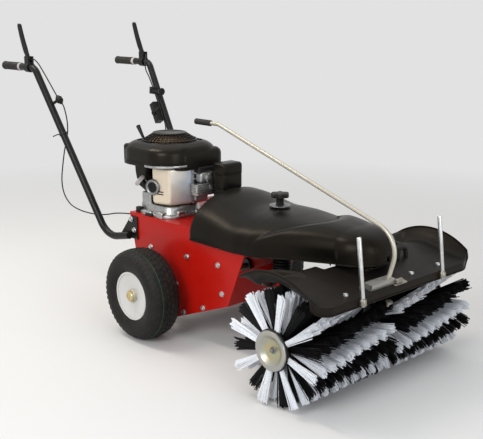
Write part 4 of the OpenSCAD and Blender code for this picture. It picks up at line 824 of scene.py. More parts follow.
def radialRibs(g, size):
    turn = g.node("GeometryNodeInputIndex") / size["Count"] * (2 * math.pi)
    middle = (size["Foot"] + size["Top"]) * 0.5
    spot = g.vector(turn.maths("COSINE") * middle, turn.maths("SINE") * middle, size["Middle"])
    rib = g.box(size["Length"], size["Wide"], size["Deep"])
    return g.copies(g.spots(size["Count"], spot), rib, g.lean(0.0, size["Lean"], turn))


def addGrille():
    rise, run = engine["ribRise"], engine["ribFoot"] - engine["ribTop"]
    sizes = {"Count": engine["ribs"], "Length": math.hypot(run, rise) * mm, "Lean": math.atan2(rise, run)}
    for key in ("Foot", "Top", "Middle", "Wide", "Deep"):
        sizes[key] = engine["rib" + key] * mm
    mesh = grow(growTree("grilleRibs", sizes, "coverBlack", radialRibs), "grilleRibs")
    mesh.transform(Matrix.Translation(crankFoot))
    bm = bmeshOf(mesh)
    for share, wide in engine["hoops"]:
        r, z = (mix(a, b, share) for a, b in zip(engine["hoopFoot"], engine["hoopTop"]))
        lathe([(r + wide * math.cos(a), z + wide * math.sin(a)) for a in circle(8)], crankFoot, bm=bm)
    addPiece("grilleRibs", bm, "starter_cover", "coverBlack", 30)
    # an orange-tan cone under the ribs stands in for light glinting through the grille: painted glint
    addTrim("grilleUnder", lathe(engine["under"], crankFoot, steps=48), "starter_cover", "dustyTan", 30)
    addTrim("grilleTop", lathe(engine["disc"], crankFoot), "starter_cover", "coverBlack", 30)


# Muffler shield: a rounded box with an outlet ring and two slots in its near side; the outlet's mouth and the slots are
# dark painted shade
shield = {"corners": [(-121, -192), (-26, -163), (2, -62), (-70, -66)], "soft": 16, "edges": (456, 598, 14, 15),
          "outletShare": 0.28, "outletHigh": 521.32, "slotShare": 0.46, "slots": (506, 497), "slotLong": 26,
          "slotOut": 0.2, "slotThick": 0.002,
          "ring": [(15, -6), (24, -6), (30, 0), (30, 5), (28.5, 9), (24, 10.5), (20, 8.5), (18, 2), (15, -4)],
          "plug": [(0.1, 1), (19, 1), (19, 2.5), (0.1, 2.5)]}


def addShield():
    corners = [Vector(p) for p in shield["corners"]]
    core = []
    for i, p in enumerate(corners):
        u, w = (p - corners[i - 1]).normalized(), (corners[(i + 1) % len(corners)] - p).normalized()
        n = Vector((-u.y - w.y, u.x + w.x))
        core.append(p + n / n.dot(Vector((-u.y, u.x))) * shield["soft"])
    addPiece("mufflerShield", slab(core, shield["soft"], pillow(*shield["edges"])), "muffler_shield", "shieldSteel", 40)
    a, b = corners[0].to_3d(), corners[1].to_3d()
    run = (b - a).normalized()
    out = Vector((run.y, -run.x, 0))
    outlet = at(*a.lerp(b, shield["outletShare"]).xy, shield["outletHigh"])
    addTrim("outletRing", lathe(shield["ring"], outlet, out, 40), "muffler_shield", "greyIron")
    # a dark disc in the outlet's mouth and dark strips for the slots: painted shade in the openings
    bm = lathe(shield["plug"], outlet, out, 32)
    for z in shield["slots"]:
        left = a.lerp(b, shield["slotShare"]) + Vector((0, 0, z)) + out * shield["slotOut"]
        sweep([at(*left), at(*(left + run * shield["slotLong"]))], shield["slotThick"], 8, bm)
    addTrim("shieldSlots", bm, "muffler_shield", "slotDark")


# Crankcase and intake: blocks by x, y, corner radius, z and roundings
base = {"foot": (-203, 7, -194.5, 10.5, 55, 412, 424, 4, 1), "case": (-184, -12, -176, -8, 45),
        "caseEdge": [(423, -3), (427, 0), (444, 2), (450, 6), (452, 12)],
        "barrel": [(0.1, 440), (60, 440), (60, 596), (56, 600), (0.1, 600)],
        "bosses": [(-208, -172, -160, -122, 8, 412, 446, 6, 2), (-186, -132, -172, -112, 8, 424, 492, 6, 2),
                   (-150, -96, -200, -180, 8, 412, 430, 6, 2), (-66, -30, -200, -178, 8, 412, 436, 6, 2),
                   (-30, 6, -150, -110, 8, 412, 440, 6, 2), (-206, -186, -100, -60, 8, 424, 500, 6, 2)],
        "feet": [(-204, -178, -190, -168, 6, 412, 432, 4, 1), (-128, -88, -202, -192, 4, 412, 424, 3, 1),
                 (-216, -204, -128, -110, 4, 430, 606, 4, 1)]}
intake = {"cleaner": (46, 112, -20, 76, 15, 516, 570, 4, 6), "lid": (45, 113, -21, 77, 16),
          "lidEdge": [(569, 3), (570, 0), (574, 0), (575, 1.5)], "lidTop": (576, 612, 12, 0.5),
          "bar": [(6, 40, -88, 14, 6, 490, 536, 5), (4, 36, -64, -30, 6, 538, 574, 7),
                  (6, 22, -78, -20, 4, 470, 506, 5)],
          "fin": (3, 43, -91, 17, 8), "finHigh": 3.5, "finSoft": 1.4, "fins": range(496, 534, 9),
          "block": [(0, 20, -60, 36, 8, 498, 594, 6), (42, 104, -14, 70, 10, 468, 519, 6)]}


def addEngineBase():
    bm = blocks([base["foot"]], 10)
    block(*base["case"], base["caseEdge"], 10, bm)
    lathe(base["barrel"], crankFoot, steps=48, bm=bm)
    addPiece("engineBase", blocks(base["bosses"], 6, bm), "crankcase", "castAlloy", 32)
    addTrim("engineFeet", blocks(base["feet"], 5), "crankcase", "mouldedBlack")


def addIntake():
    softenNode("cylinder_block", 0.8, sharp=30)
    bm = blocks([intake["cleaner"]], 6)
    block(*intake["lid"], intake["lidEdge"] + pillow(*intake["lidTop"])[1:], 6, bm)
    addPiece("airCleaner", bm, "air_cleaner", "coverBlack", 32)
    softenNode("carburettor", 1.5, sharp=30)
    fins = [(*intake["fin"], z, z + intake["finHigh"], intake["finSoft"]) for z in intake["fins"]]
    addTrim("intakeBar", blocks(intake["bar"] + fins, 5), "carburettor", "castAlloy", 32)
    addTrim("intakeBlock", blocks(intake["block"], 5), "carburettor", "mouldedBlack", 32)


oil = {"route": [(-163, -141, 424), (-163, -141, 490), (-190, -168, 525)], "bend": 0.050, "tube": 0.014,
       "cap": [(0.1, 0.5), (20, 0.5), (22, 2), (22, 13), (20, 16), (12, 17), (9, 15), (0.1, 15)],
       "ribs": 20, "ribRadius": 0.0218, "ribLow": 0.003, "ribHigh": 0.013, "rib": 0.0011}
starter = {"foot": (-233, -123, 686), "lean": 37, "rope": 0.0018, "ropeSpots": range(-12, 5, 2),
           "grip": [(0.1, 0), (5.5, 0), (6, 2), (5.6, 6), (6.4, 20), (8, 44), (8.5, 48), (7.5, 51), (0.1, 52)]}


def leaning(degrees):  # a direction that leans back from upright
    a = math.radians(degrees)
    return Vector((-math.sin(a), 0, math.cos(a)))


def addOilFiller():
    filler = bendRoute([at(*p) for p in oil["route"]], [oil["bend"]], 12)
    addPiece("oilFiller", sweep(filler, oil["tube"], 24), "oil_filler", "mouldedBlack")
    lean = (filler[-1] - filler[-2]).normalized()
    bm = lathe(oil["cap"], filler[-1], lean, 48)
    side = lean.orthogonal().normalized()
    for a in circle(oil["ribs"]):
        edge = filler[-1] + Matrix.Rotation(a, 3, lean) @ side * oil["ribRadius"]
        sweep([edge + lean * oil["ribLow"], edge + lean * oil["ribHigh"]], oil["rib"], 6, bm)
    addPiece("oilCap", bm, "oil_cap", "greyPlastic", 32)


def addStarter():
    foot, up = at(*starter["foot"]), leaning(starter["lean"])
    addPiece("starterGrip", lathe(starter["grip"], foot, up, 28), "starter_grip", "mouldedBlack")
    rope = sweep([foot + up * h * mm for h in starter["ropeSpots"]], starter["rope"], 10)
    rope = addPiece("starterRope", rope, "starter_grip", "gripRubber", stands=False, rides=False)
    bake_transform(rope)


addFanCover()
addGrille()
addShield()
addEngineBase()
addIntake()
addOilFiller()
addStarter()
print("engine built")

# Handlebars, grips and hand levers
bars = {"tube": 0.014, "foot": (-200, 224, 325), "low": (-338, 230, 295), "top": (-733, 285, 930),
        "end": (-974, 285, 930), "bends": [0.090, 0.045], "gripStart": (-976, 285, 930),
        "gripFoot": [(0.1, 0), (15, 0), (17.5, 2.5), (17.5, 6), (16.2, 8)],
        "gripRib": [(15.6, -2), (16.6, 0), (16.6, 3), (15.6, 5)], "gripRibs": range(12, 109, 8),
        "gripEnd": [(16.2, 119), (17.5, 121), (17.5, 125), (15, 126), (0.1, 126)],
        "collar": [(13.5, 127), (16, 127), (16.6, 130), (16.6, 139), (16, 142), (13.5, 142)]}
lever = {"foot": (-775, 285, 959), "lean": 24, "below": 9, "length": 156, "footWide": 12, "wide": 13.5, "tipWide": 9.6,
         "footThick": 4.8, "thick": 7.0, "bow": 5, "square": 0.55, "steps": 28, "neck": 0.12, "tip": 0.93, "heel": 0.06,
         "tipEnd": 0.02, "heelEnd": 0.04, "thickStart": 0.2, "thickRate": 6, "bowStart": 0.1}


def onSide(point, side):
    return at(point[0], point[1] * side, point[2])


def ribbed(foot, rib, places, end):
    return foot + [(r, z + h) for z in places for r, h in rib] + end


def addHandlebar(name, side):
    corners = [onSide(bars[key], side) for key in ("foot", "low", "top", "end")]
    tube = sweep(bendRoute(corners, bars["bends"], 16), bars["tube"], 28)
    addPiece("tube" + name, tube, "handlebar_" + name.lower(), "blackTube", 40)


def addGrips():
    outline = ribbed(bars["gripFoot"], bars["gripRib"], bars["gripRibs"], bars["gripEnd"])
    bm, collars = bmesh.new(), bmesh.new()
    for side in (-1, 1):
        start = onSide(bars["gripStart"], side)
        lathe(outline, start, forward, 36, bm)
        lathe(bars["collar"], start, forward, 36, collars)
    addPiece("handGrips", bm, "hand_grips", "gripRubber", 32)
    addTrim("gripCollars", collars, "hand_grips", "greyPlastic", 32)


def squared(v):
    return math.copysign(abs(v) ** lever["square"], v)


def addLever(name, node, side):
    up = leaning(lever["lean"])
    fore = Vector((up.z, 0, -up.x))
    neck, tip, heel = lever["neck"], lever["tip"], lever["heel"]
    rings = []
    for t in [k / lever["steps"] for k in range(lever["steps"] + 1)]:
        wide = mix(lever["wide"], lever["tipWide"], (t - neck) / (1 - neck))
        if t < neck:
            wide = mix(lever["footWide"], lever["wide"], ease(t / neck))
        if t > tip:  # both ends close in an arc
            wide *= math.sqrt(max(lever["tipEnd"], 1 - ((t - tip) / (1 - tip)) ** 2))
        elif t < heel:
            wide *= math.sqrt(max(lever["heelEnd"], 1 - ((heel - t) / heel) ** 2))
        thick = mix(lever["footThick"], lever["thick"], ease((t - lever["thickStart"]) * lever["thickRate"]))
        bow = lever["bow"] * math.sin(math.pi * t) * (t > lever["bowStart"])
        middle = onSide(lever["foot"], side) + (up * mix(-lever["below"], lever["length"], t) - fore * bow) * mm
        rings.append([middle + (fore * wide * squared(math.cos(a)) + Vector((0, thick * squared(math.sin(a)), 0))) * mm
                      for a in circle(24)])
    addPiece(name, loft(rings), node, "mouldedBlack", 40)


# Adjuster on the drive cable, and the tie lower down with its loose tail
cableFit = {"middle": (-609, -253.5, 810), "nut": [(3, 17), (6, 17), (6, 22), (3, 22)], "arm": 0.006, "armStart": 0.35,
            "barrel": [(3, -17), (7, -17), (8, -15), (8, -10), (13, -8), (14, -6), (14, 8), (13, 10), (9, 11), (9, 16),
                       (8, 17), (3, 17)],
            "tieHigh": 0.676, "tie": [(14.1, -3), (16.2, -3), (16.2, 3), (14.1, 3)], "tail": 0.0022,
            "tailWay": (-0.68, -0.73), "tailSpots": [(13.5, 0), (26, -3), (42, -10)]}


def addCableFittings():
    run = (at(*cables["drive"][7]) - at(*cables["drive"][5])).normalized()
    middle = at(*cableFit["middle"])
    bm = lathe(cableFit["barrel"], middle, run, 28)
    lathe(cableFit["nut"], middle, run, 6, bm)
    start = onSide(bars["low"], -1)
    slope = (onSide(bars["top"], -1) - start).normalized()
    near = start + slope * (middle - start).dot(slope)
    sweep([near.lerp(middle, cableFit["armStart"]), middle], cableFit["arm"], 10, bm)
    addPiece("cableAdjuster", bm, "cable_adjuster", "mouldedBlack", 34)
    tie = start + slope * ((cableFit["tieHigh"] - start.z) / slope.z)
    bm = lathe(cableFit["tie"], tie, slope, 32)
    x, y = cableFit["tailWay"]
    sweep([tie + Vector((x * far, y * far, z)) * mm for far, z in cableFit["tailSpots"]], cableFit["tail"], 6, bm)
    addTrim("cableTie", bm, "drive_cable", "cableBlack", 34)


addHandlebar("Right", -1)
addHandlebar("Left", 1)
addGrips()
addCableFittings()
addLever("driveLever", "drive_lever", -1)
addLever("brushLever", "brush_lever", 1)
print("handlebars bent")

# Wheels: a rounded tyre with small tread blocks set on by a node tree, a green line and a hub cap
wheel = {"track": 317, "axle": 165, "blocks": 46, "blockLong": 12.5, "blockWide": 14.5, "blockHigh": 7.0,
         "blockEdge": 1.6, "rows": [(0, 161.5, 0), (18.5, 160.6, 6), (36.5, 156.6, 20), (51, 146.5, 46)],
         "outline": [(87.5, 44), (90, 50), (97, 55.5), (110, 60.5), (124, 62), (137, 59.5), (148, 53), (157, 42.5),
                     (161.6, 28), (163, 12)],
         "line": [(160.4, -0.7), (162.4, -0.7), (162.4, 0.7), (160.4, 0.7)], "lineOut": 27.5,
         "hubCap": [(10.3, 56.2), (10.3, 57.6), (17, 57.6), (18.8, 56), (18.8, 51), (18.1, 51), (18.1, 56.2)]}
sideways = (0, 1, 0)


def treadBlocks(g, size):
    turn = (g.node("GeometryNodeInputIndex") + size["Shift"]) / size["Count"] * (2 * math.pi)
    spot = g.vector(turn.maths("COSINE") * size["Radius"], size["Across"], turn.maths("SINE") * size["Radius"])
    lug = g.box(size["Long"], size["Wide"], size["High"])
    return g.copies(g.spots(size["Count"], spot), lug, g.lean(size["Lean"], math.pi / 2 - turn, 0.0))


def addTyre(tree, name, side):
    centre = at(0, wheel["track"] * side, wheel["axle"])
    bm = bmesh.new()
    for k, (across, radius, lean) in enumerate(wheel["rows"]):
        for hand in ((1, -1) if across else (1,)):
            mesh = grow(tree, "treadRow", Across=across * hand * mm, Radius=radius * mm,
                        Lean=-math.radians(lean) * hand, Shift=0.5 * ((k + (hand < 0)) % 2))
            mesh.transform(Matrix.Translation(centre))
            bm.from_mesh(mesh)
    bmesh.ops.bevel(bm, geom=list(bm.edges), offset=wheel["blockEdge"] * mm, segments=1, affect="EDGES")
    half = [(p.x, p.y) for p in curvePoints([Vector((*p, 0)) for p in wheel["outline"]], 4)]
    lathe(half + [(r, -h) for r, h in reversed(half)], centre, sideways, 96, bm)
    addPiece("tyre" + name, bm, "tyre_" + name.lower(), "tyreRubber", 36)
    line = [(r, h + wheel["lineOut"] * side) for r, h in wheel["line"]]
    addTrim("tyreLine" + name, lathe(line, centre, sideways, 96), "tyre_" + name.lower(), "greenMark")
    cap = lathe(wheel["hubCap"], centre, (0, side, 0), 40)
    addTrim("hubCap" + name, cap, "axle_" + name.lower(), "yellowZinc", 34)


def addTyres():
    sizes = {"Count": wheel["blocks"], "Shift": 0.0, "Radius": 0.16, "Across": 0.0, "Lean": 0.0,
             "Long": wheel["blockLong"] * mm, "Wide": wheel["blockWide"] * mm, "High": wheel["blockHigh"] * mm}
    tree = growTree("treadBlocks", sizes, "tyreRubber", treadBlocks)
    addTyre(tree, "Right", -1)
    addTyre(tree, "Left", 1)


addTyres()
print("tyres built")

# Height adjuster: star knob over a washer, and the ribbed boot under the arm
adjuster = {"x": 379, "seat": 497, "knob": 505.5, "lobes": 6, "lobeTurn": 0.26, "lobeMiddle": 29.5, "lobeDeep": 4.5,
            "star": [(25, 0.80), (26.5, 0.93), (29, 1), (37, 1), (40, 0.95), (41.5, 0.82), (42, 0.6)],
            "neck": [(0.1, 0), (15, 0), (15, 3), (13, 5), (13, 20), (17, 27), (0.1, 27)],
            "plate": [(8.2, -56), (14, -56), (14, 4), (35, 4), (37, 5), (37, 7.2), (35.5, 8.2), (24, 8.5),
                      (22, 9.2), (8.2, 9.2)],
            "boot": 392, "bootLow": 242.5, "bootOuter": 35, "bootRoot": 27, "bootBore": 24, "ribs": 7, "ribSteps": 10,
            "ribPower": 0.7}
bootTop = max(v.co.z for v in nodes["height_bellows"].data.vertices) / mm


def addKnob():
    rings = []
    for z, scale in adjuster["star"]:
        waves = [math.cos(adjuster["lobes"] * (a - adjuster["lobeTurn"])) for a in circle(96)]
        radii = [scale * (adjuster["lobeMiddle"] + adjuster["lobeDeep"] * wave) for wave in waves]
        rings.append([at(adjuster["x"] + r * math.cos(a), r * math.sin(a), adjuster["knob"] + z)
                      for a, r in zip(circle(96), radii)])
    bm = loft(rings)
    lathe(adjuster["neck"], at(adjuster["x"], 0, adjuster["knob"]), steps=40, bm=bm)
    addPiece("heightKnob", bm, "height_knob", "mouldedBlack", 32)
    plate = lathe(adjuster["plate"], at(adjuster["x"], 0, adjuster["seat"]), steps=56)
    addPiece("hoodSpacer", plate, "hood_spacer", "greyIron", 32)


def addBoot():
    span, count = bootTop - adjuster["bootLow"], adjuster["ribs"] * adjuster["ribSteps"]
    outline = [(adjuster["bootBore"], 0)]
    for t in [k / count for k in range(count + 1)]:
        wave = 0.5 - 0.5 * math.cos(2 * math.pi * t * adjuster["ribs"])
        outline.append((mix(adjuster["bootRoot"], adjuster["bootOuter"], wave ** adjuster["ribPower"]), t * span))
    outline.append((adjuster["bootBore"], span))
    bm = lathe(outline, at(adjuster["boot"], 0, adjuster["bootLow"]), steps=48)
    return addPiece("heightBoot", bm, "height_bellows", "beltRubber", 60, rides=False)


addKnob()
boot = addBoot()
print("height adjuster built")

# Steering rod with its grip, and the marker posts
steer = {"rod": 0.007, "y": -45, "bends": [0.085, 0.040], "footAhead": 151, "footLift": 3, "footX": 882, "cornerX": 925,
         "cornerLift": 145, "kneeX": 113, "endX": -7, "high": 760, "gripX": -11,
         "gripFoot": [(0.1, 0), (9, 0), (11, 2)],
         "gripRib": [(10.9, -3), (9.7, -1), (9.7, 2), (10.9, 4)], "gripRibs": range(8, 72, 9),
         "gripEnd": [(10.9, 81), (9.5, 84), (7.2, 84), (0.1, 84)]}
posts = {"x": 915.5, "y": 197, "foot": 321, "lean": 6.8, "clip": (-24, 2, -9, 9, 3, 4, 20, 2),
         "outline": [(4.6, 0), (6.4, 0), (7, 0.8), (7, 201), (6.6, 203), (5.6, 204), (4.6, 203), (4.6, 196), (0.1, 195),
                     (0.1, 4), (4.6, 3)],
         "collar": [(7, 3), (10.5, 3), (11, 4), (11, 20), (10.5, 21.5), (7, 21.5)]}


def floorHeight(ahead):  # height of the guard's floor, from the distance before the brush axis
    tilt = math.radians(90 - guard["floorTurn"])
    return brush["height"] + guard["floor"] / math.cos(tilt) - ahead * math.tan(tilt)


def addRod():
    foot, high = floorHeight(steer["footAhead"]) + steer["footLift"], steer["high"]
    corners = [(steer["footX"], foot), (steer["cornerX"], foot + steer["cornerLift"]), (steer["kneeX"], high),
               (steer["endX"], high)]
    route = bendRoute([at(x, steer["y"], z) for x, z in corners], steer["bends"], 18)
    addPiece("steeringRod", sweep(route, steer["rod"]), "steering_rod", "creamZinc", 40)
    outline = ribbed(steer["gripFoot"], steer["gripRib"], steer["gripRibs"], steer["gripEnd"])
    grip = lathe(outline, at(steer["gripX"], steer["y"], high), forward, 32)
    addPiece("rodGrip", grip, "rod_grip", "gripRubber", 32)


def addPosts():
    up = leaning(posts["lean"])
    bm, clips = bmesh.new(), bmesh.new()
    for side in (-1, 1):
        foot = at(posts["x"], posts["y"] * side, posts["foot"])
        lathe(posts["outline"], foot, up, 28, bm)
        lathe(posts["collar"], foot, up, 28, clips)
        blocks([posts["clip"]], 4, clips, lambda x, y, z: foot + (Vector((x, y, 0)) + up * z) * mm)
    addPiece("guardPosts", bm, "guard_posts", "brightSteel", 40)
    addTrim("postClips", clips, "guard_posts", "dullZinc", 36)


addRod()
addPosts()
print("rod and posts built")

# Brush ends: pressed discs with a flat rim and a dished middle; the shaft with its gear and the bristles' sleeves
discs = {"face": 384, "seat": [(58, -5), (65, -5), (65, 1), (64, 2), (58, 2)],
         "outline": [(0.1, -9), (59, -3), (61, 0), (62, 2), (62, 7), (61, 8.6), (59, 9), (50.5, 9), (48, 8.2),
                     (45.5, 6), (34, -2.5), (31, -4), (0.1, -4)],
         "washer": [(0.1, -4.5), (11, -4.5), (11, -2.5), (10, -2), (0.1, -2)],
         "nut": [(0.1, -3), (7.5, -3), (7.5, 3), (6.6, 4), (0.1, 4)]}
shaft = {"rod": [(0.1, -376), (15, -376), (15, 376), (0.1, 376)],
         "gear": [(15, 3), (37, 3), (38, 4), (38, 9), (37, 10), (15, 10)],
         "sleeve": [(15.2, 27), (38, 27), (40, 29), (40, 372), (38, 374), (15.2, 374)]}


def addBrushEnds():
    bm, nuts, seats, sleeves = (bmesh.new() for _ in range(4))
    for side in (-1, 1):
        centre, out = at(brush["reach"], discs["face"] * side, brush["height"]), (0, side, 0)
        lathe(discs["outline"], centre, out, 72, bm)
        lathe(discs["washer"], centre, out, 32, nuts)
        lathe(discs["nut"], centre, out, 6, nuts)
        lathe(discs["seat"], centre, out, 56, seats)
        lathe(shaft["sleeve"], brushMiddle, out, 40, sleeves)
    addPiece("brushDiscs", bm, "brush_discs", "paleZinc", 34)
    addTrim("discSeats", seats, "brush_discs", "mouldedBlack", 34)
    addTrim("discBolts", nuts, "brush_discs", "greyIron", 34)
    bm = lathe(shaft["rod"], brushMiddle, sideways, 40)
    lathe(shaft["gear"], brushMiddle, sideways, 40, bm)
    addPiece("brushShaft", bm, "brush_shaft", "greyIron", 34)
    addTrim("brushCore", sleeves, "bristles_black", "mouldedBlack", 34)


addBrushEnds()
print("brush ends built")

# Small pieces on the guard: bracket plates, loop, lip bolt and the stay under the near rear lobe
fittings = {"plateAhead": 166, "plateY": -8, "plates": [(-9, 12, -30, 30, 5, 0, 3, 1), (-2, 9, -22, 8, 3, 2, 17, 3)],
            "stay": [(-352, 112, 196), (-330, 112, 184), (-296, 112, 190)], "stayThick": 0.006,
            "lipBolt": (905, -63, 300), "boltLean": (0.35, 0, 0.94),
            "bolt": [(0.1, -14), (4, -14), (4, -4), (8, -4), (8, 2), (11, 2), (11, 5), (0.1, 5)],
            "loop": [(52, 136, -2), (49, 138, 29), (49, 177, 29), (52, 179, -2)], "loopBend": 0.014, "loopTube": 0.0075}


def onFloor(ahead, y, lift):
    return at(brush["reach"] + ahead, y, floorHeight(ahead) + lift)


def addFittings():
    up = leaning(guard["floorTurn"] - 90)
    fore = Vector((up.z, 0, -up.x))
    foot = onFloor(fittings["plateAhead"], fittings["plateY"], 0)
    bm = blocks(fittings["plates"], 5, place=lambda x, y, z: foot + (fore * x + Vector((0, y, 0)) + up * z) * mm)
    stay = [guardSpot(*spot) for spot in fittings["stay"]]
    for a, b in zip(stay, stay[1:]):
        sweep([a, b], fittings["stayThick"], 4, bm)
    lathe(fittings["bolt"], at(*fittings["lipBolt"]), fittings["boltLean"], 20, bm)
    addTrim("guardFittings", bm, "brush_guard", "dullZinc", 34)
    path = bendRoute([onFloor(*spot) for spot in fittings["loop"]], [fittings["loopBend"]] * 2, 8)
    addTrim("guardLoop", sweep(path, fittings["loopTube"], 12), "brush_guard", "slotDark", 40)


addFittings()
print("guard fittings placed")

# Hex bolts with washers, set by a node tree; spots on the plates are shares of their length and height
bolts = {"head": 8.0, "high": 6.0, "washer": 10.5, "washerHigh": 2.0, "plate": 205, "gusset": 210, "length": 655,
         "shorter": 115, "rear": -219, "foot": 48, "tall": 364, "flange": 424,
         "gussetSpots": [(-203, 386), (-185, 346)],
         "spots": [(0.20, 0.69), (0.775, 0.72), (0.805, 0.45), (0.65, 0.24), (0.485, 0.12), (0.425, 0.39)],
         "engineSpots": [(-2.4, -51), (-193.5, -34.6), (-193.5, -133), (-2.4, -133)], "guardAhead": 143,
         "guardSpots": (-228, 85, 228), "guardSink": -1.5, "guardHigh": 0.004, "guardWasher": 0.0092,
         "domeTop": 0.45, "domeFoot": 0.86, "domeHigh": 0.0012,
         "pivot": (122, 306), "pin": [(0.1, -204), (12, -204), (12, 204), (0.1, 204)]}


def boltSet(g, size):
    full = size["High"] + size["WasherHigh"]
    head = g.node("GeometryNodeMeshCylinder", {}, {"Vertices": 6, "Radius": size["Head"], "Depth": full})
    washer = g.node("GeometryNodeMeshCylinder", {},
                    {"Vertices": 20, "Radius": size["Washer"], "Depth": size["WasherHigh"]})
    dome = g.node("GeometryNodeMeshCone", {},
                  {"Vertices": 12, "Radius Top": size["Head"] * bolts["domeTop"],
                   "Radius Bottom": size["Head"] * bolts["domeFoot"], "Depth": bolts["domeHigh"]})
    joined = g.tree.nodes.new("GeometryNodeJoinGeometry")
    for shape, rise in ((head, full * 0.5), (washer, size["WasherHigh"] * 0.5), (dome, full)):
        lifted = g.node("GeometryNodeTransform", {}, {"Geometry": shape, "Translation": g.vector(z=rise)})
        g.tree.links.new(lifted.socket, joined.inputs[0])
    points = g.node("GeometryNodeMeshToPoints", {}, {"Mesh": size["Spots"]})
    return g.copies(points, Wire(g, joined.outputs[0]), g.lean(size["Turn"]))


def addBolts():
    sizes = {"Head": bolts["head"] * mm, "High": bolts["high"] * mm, "Washer": bolts["washer"] * mm,
             "WasherHigh": bolts["washerHigh"] * mm, "Turn": 0.0}
    tree = growTree("boltSet", sizes, "brightSteel", boltSet)
    pivotX, pivotZ = bolts["pivot"]
    sets = []
    for side in (-1, 1):
        long = bolts["length"] - (bolts["shorter"] if side > 0 else 0)
        places = [(bolts["rear"] + a * long, bolts["foot"] + b * bolts["tall"]) for a, b in bolts["spots"]]
        spots = [at(x, bolts["plate"] * side, z) for x, z in [*places, bolts["pivot"]]]
        spots += [at(x, bolts["gusset"] * side, z) for x, z in bolts["gussetSpots"]]
        sets.append(grow(tree, "plateBolts", spots, Turn=-math.pi / 2 * side))
    sets.append(grow(tree, "engineBolts", [at(*spot, bolts["flange"]) for spot in bolts["engineSpots"]]))
    addPiece("frameBolts", bmeshOf(*sets), "frame_bolts", "brightSteel", 30)
    spots = [onFloor(bolts["guardAhead"], y, bolts["guardSink"]) for y in bolts["guardSpots"]]
    heads = grow(tree, "guardBolts", spots, High=bolts["guardHigh"], Washer=bolts["guardWasher"])
    addPiece("headBolts", bmeshOf(heads), "head_bolts", "brightSteel", 30)
    # the pin is given the dark finish, unlike the bright bolts of its node: painted shade under the deck
    addTrim("pivotPin", lathe(bolts["pin"], at(pivotX, 0, pivotZ), sideways, 32), "frame_bolts", "darkAlloy", 30)


addBolts()
print("bolts set")

# Nodes kept as they are in shape, with softened edges; the belt and the boot ride no body and keep their shape
softEdges = {
    "side_plate_right": 1.0, "side_plate_left": 1.0, "top_deck": 1.0, "front_panel": 1.0, "wheel_gearbox": 1.5,
    "axle_bearings": 0.8, "handle_brackets": 0.8, "lever_clamps": 1.2, "control_box": 2.0, "drive_pulley": 0.8,
    "driven_pulley": 0.8, "flywheel": 1.0, "crankshaft": 0.5, "brush_arm": 1.5, "height_spindle": 0.5,
    "brush_gearbox": 2.0, "guard_frame": 0.8, "rod_bracket": 2.0, "input_shaft": 0.5, "throttle_lever": 1.0,
    "selector_lever": 1.2, "rim_right": 1.2, "rim_left": 1.2, "axle_right": 0.6, "axle_left": 0.6,
}
otherFinish = {"brush_gearbox": "darkAlloy", "brush_arm": "blackTube", "rod_bracket": "paleZinc",
               "wheel_gearbox": "darkAlloy", "axle_bearings": "darkAlloy"}
for node, width in softEdges.items():
    softenNode(node, width, otherFinish.get(node))
belt = softenNode("drive_belt", 0.5, rides=False)
at(-60, 0, 390)
at(640, 0, 400)
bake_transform(belt)
at(adjuster["boot"], 0, adjuster["bootLow"] + 4)
at(adjuster["boot"], 0, bootTop - 4)
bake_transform(boot)
shown = {n for o in bpy.context.scene.objects for n in o.get("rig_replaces", [])}
print("nodes softened:", len(softEdges), "left:", [n for n in nodes if n not in shown])

# Floor, light and backdrop
studio = {"floor": 0.74, "backdrop": 0.76, "sky": 0.30, "high": 0.62, "near": 1.3, "far": 3.6, "half": 40,
          "sink": -0.0004, "skyTop": 0.8}
lamps = {  # place, aim, power, colour, size and, for a strip, its width
    "topLamp": ((-0.4, 0.4, 3.6), (0.0, 0, 0.4), 22, (1, 1, 1), 3.0),
    "keyLamp": ((1.6, -3.8, 2.4), (0.1, 0, 0.4), 92, (1, 1, 1), 2.0),
    "fillLamp": ((4.2, -0.4, 1.3), (0.6, 0, 0.3), 40, (0.93, 0.96, 1.0), 2.0),
    "rimLamp": ((-1.35, -1.1, 2.9), (-1.35, -0.1, 0.2), 40, (1.0, 0.93, 0.82), 2.0, 0.45),
}


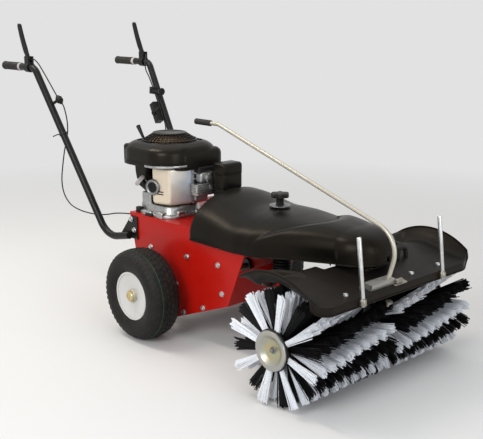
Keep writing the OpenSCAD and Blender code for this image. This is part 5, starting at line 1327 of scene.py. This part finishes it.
def plainRays(graph):  # one on the rays that see the plain background
    path = graph.tree.nodes.new("ShaderNodeLightPath")
    seen, shiny, through = (Wire(graph, path.outputs[f"Is {ray} Ray"]) for ray in ("Camera", "Glossy", "Transmission"))
    return seen.maths("MAXIMUM", shiny).maths("MAXIMUM", through)


def addFloor():
    ends = (-studio["half"], studio["half"])
    corners = [[Vector((x, y, studio["sink"])) for x in ends] for y in ends]
    floor = bpy.data.objects.new("floor", meshFrom(loft(corners, closed=False), "floor"))
    bpy.context.scene.collection.objects.link(floor)
    f = Finish("studioFloor", roughness=0.9, specular=0.1)
    f.set("color", f.blend(studio["floor"], studio["floor"] * 0.98, f.noise(0.6)))
    away = (f.length(f.place) - studio["near"]) / (studio["far"] - studio["near"])
    glow = f.node("ShaderNodeEmission", {}, {"Color": tone(studio["backdrop"]), "Strength": 1.0})
    fade = f.ramp(away, (0.0, 0.0), (1.0, 1.0)) * plainRays(f)
    faded = f.node("ShaderNodeMixShader", {}, {0: fade, 1: Wire(f, f.bsdf.outputs[0]), 2: glow})
    f.tree.links.new(faded.socket, f.tree.nodes["Material Output"].inputs["Surface"])
    floor.data.materials.append(f.material)


def addLamp(name, place, aim, power, color, size, narrow=None):
    data = bpy.data.lights.new(name, "AREA")
    data.energy, data.size, data.color = power, size, color
    if narrow:
        data.shape, data.size_y = "RECTANGLE", narrow
    lamp = bpy.data.objects.new(name, data)
    lamp.location = place
    lamp.rotation_mode = "QUATERNION"
    lamp.rotation_quaternion = (Vector(aim) - Vector(place)).to_track_quat("-Z", "Y")
    bpy.context.scene.collection.objects.link(lamp)


addFloor()
for name, values in lamps.items():
    addLamp(name, *values)
world = bpy.data.worlds.new("studio")
world.use_nodes = True
bpy.context.scene.world = world
sky = Graph(world.node_tree)
rise = sky.node("ShaderNodeSeparateXYZ", {}, {0: sky.node("ShaderNodeTexCoord", out="Generated")}, out=2)
shade = sky.node("ShaderNodeMapRange", {}, {0: rise, 1: 0.0, 2: studio["skyTop"], 3: studio["sky"], 4: studio["high"]})
plain = sky.node("ShaderNodeMix", {"data_type": "FLOAT"}, {0: plainRays(sky), 2: shade, 3: studio["backdrop"]})
world.node_tree.links.new(plain.socket, world.node_tree.nodes["Background"].inputs["Color"])
print("studio lit")
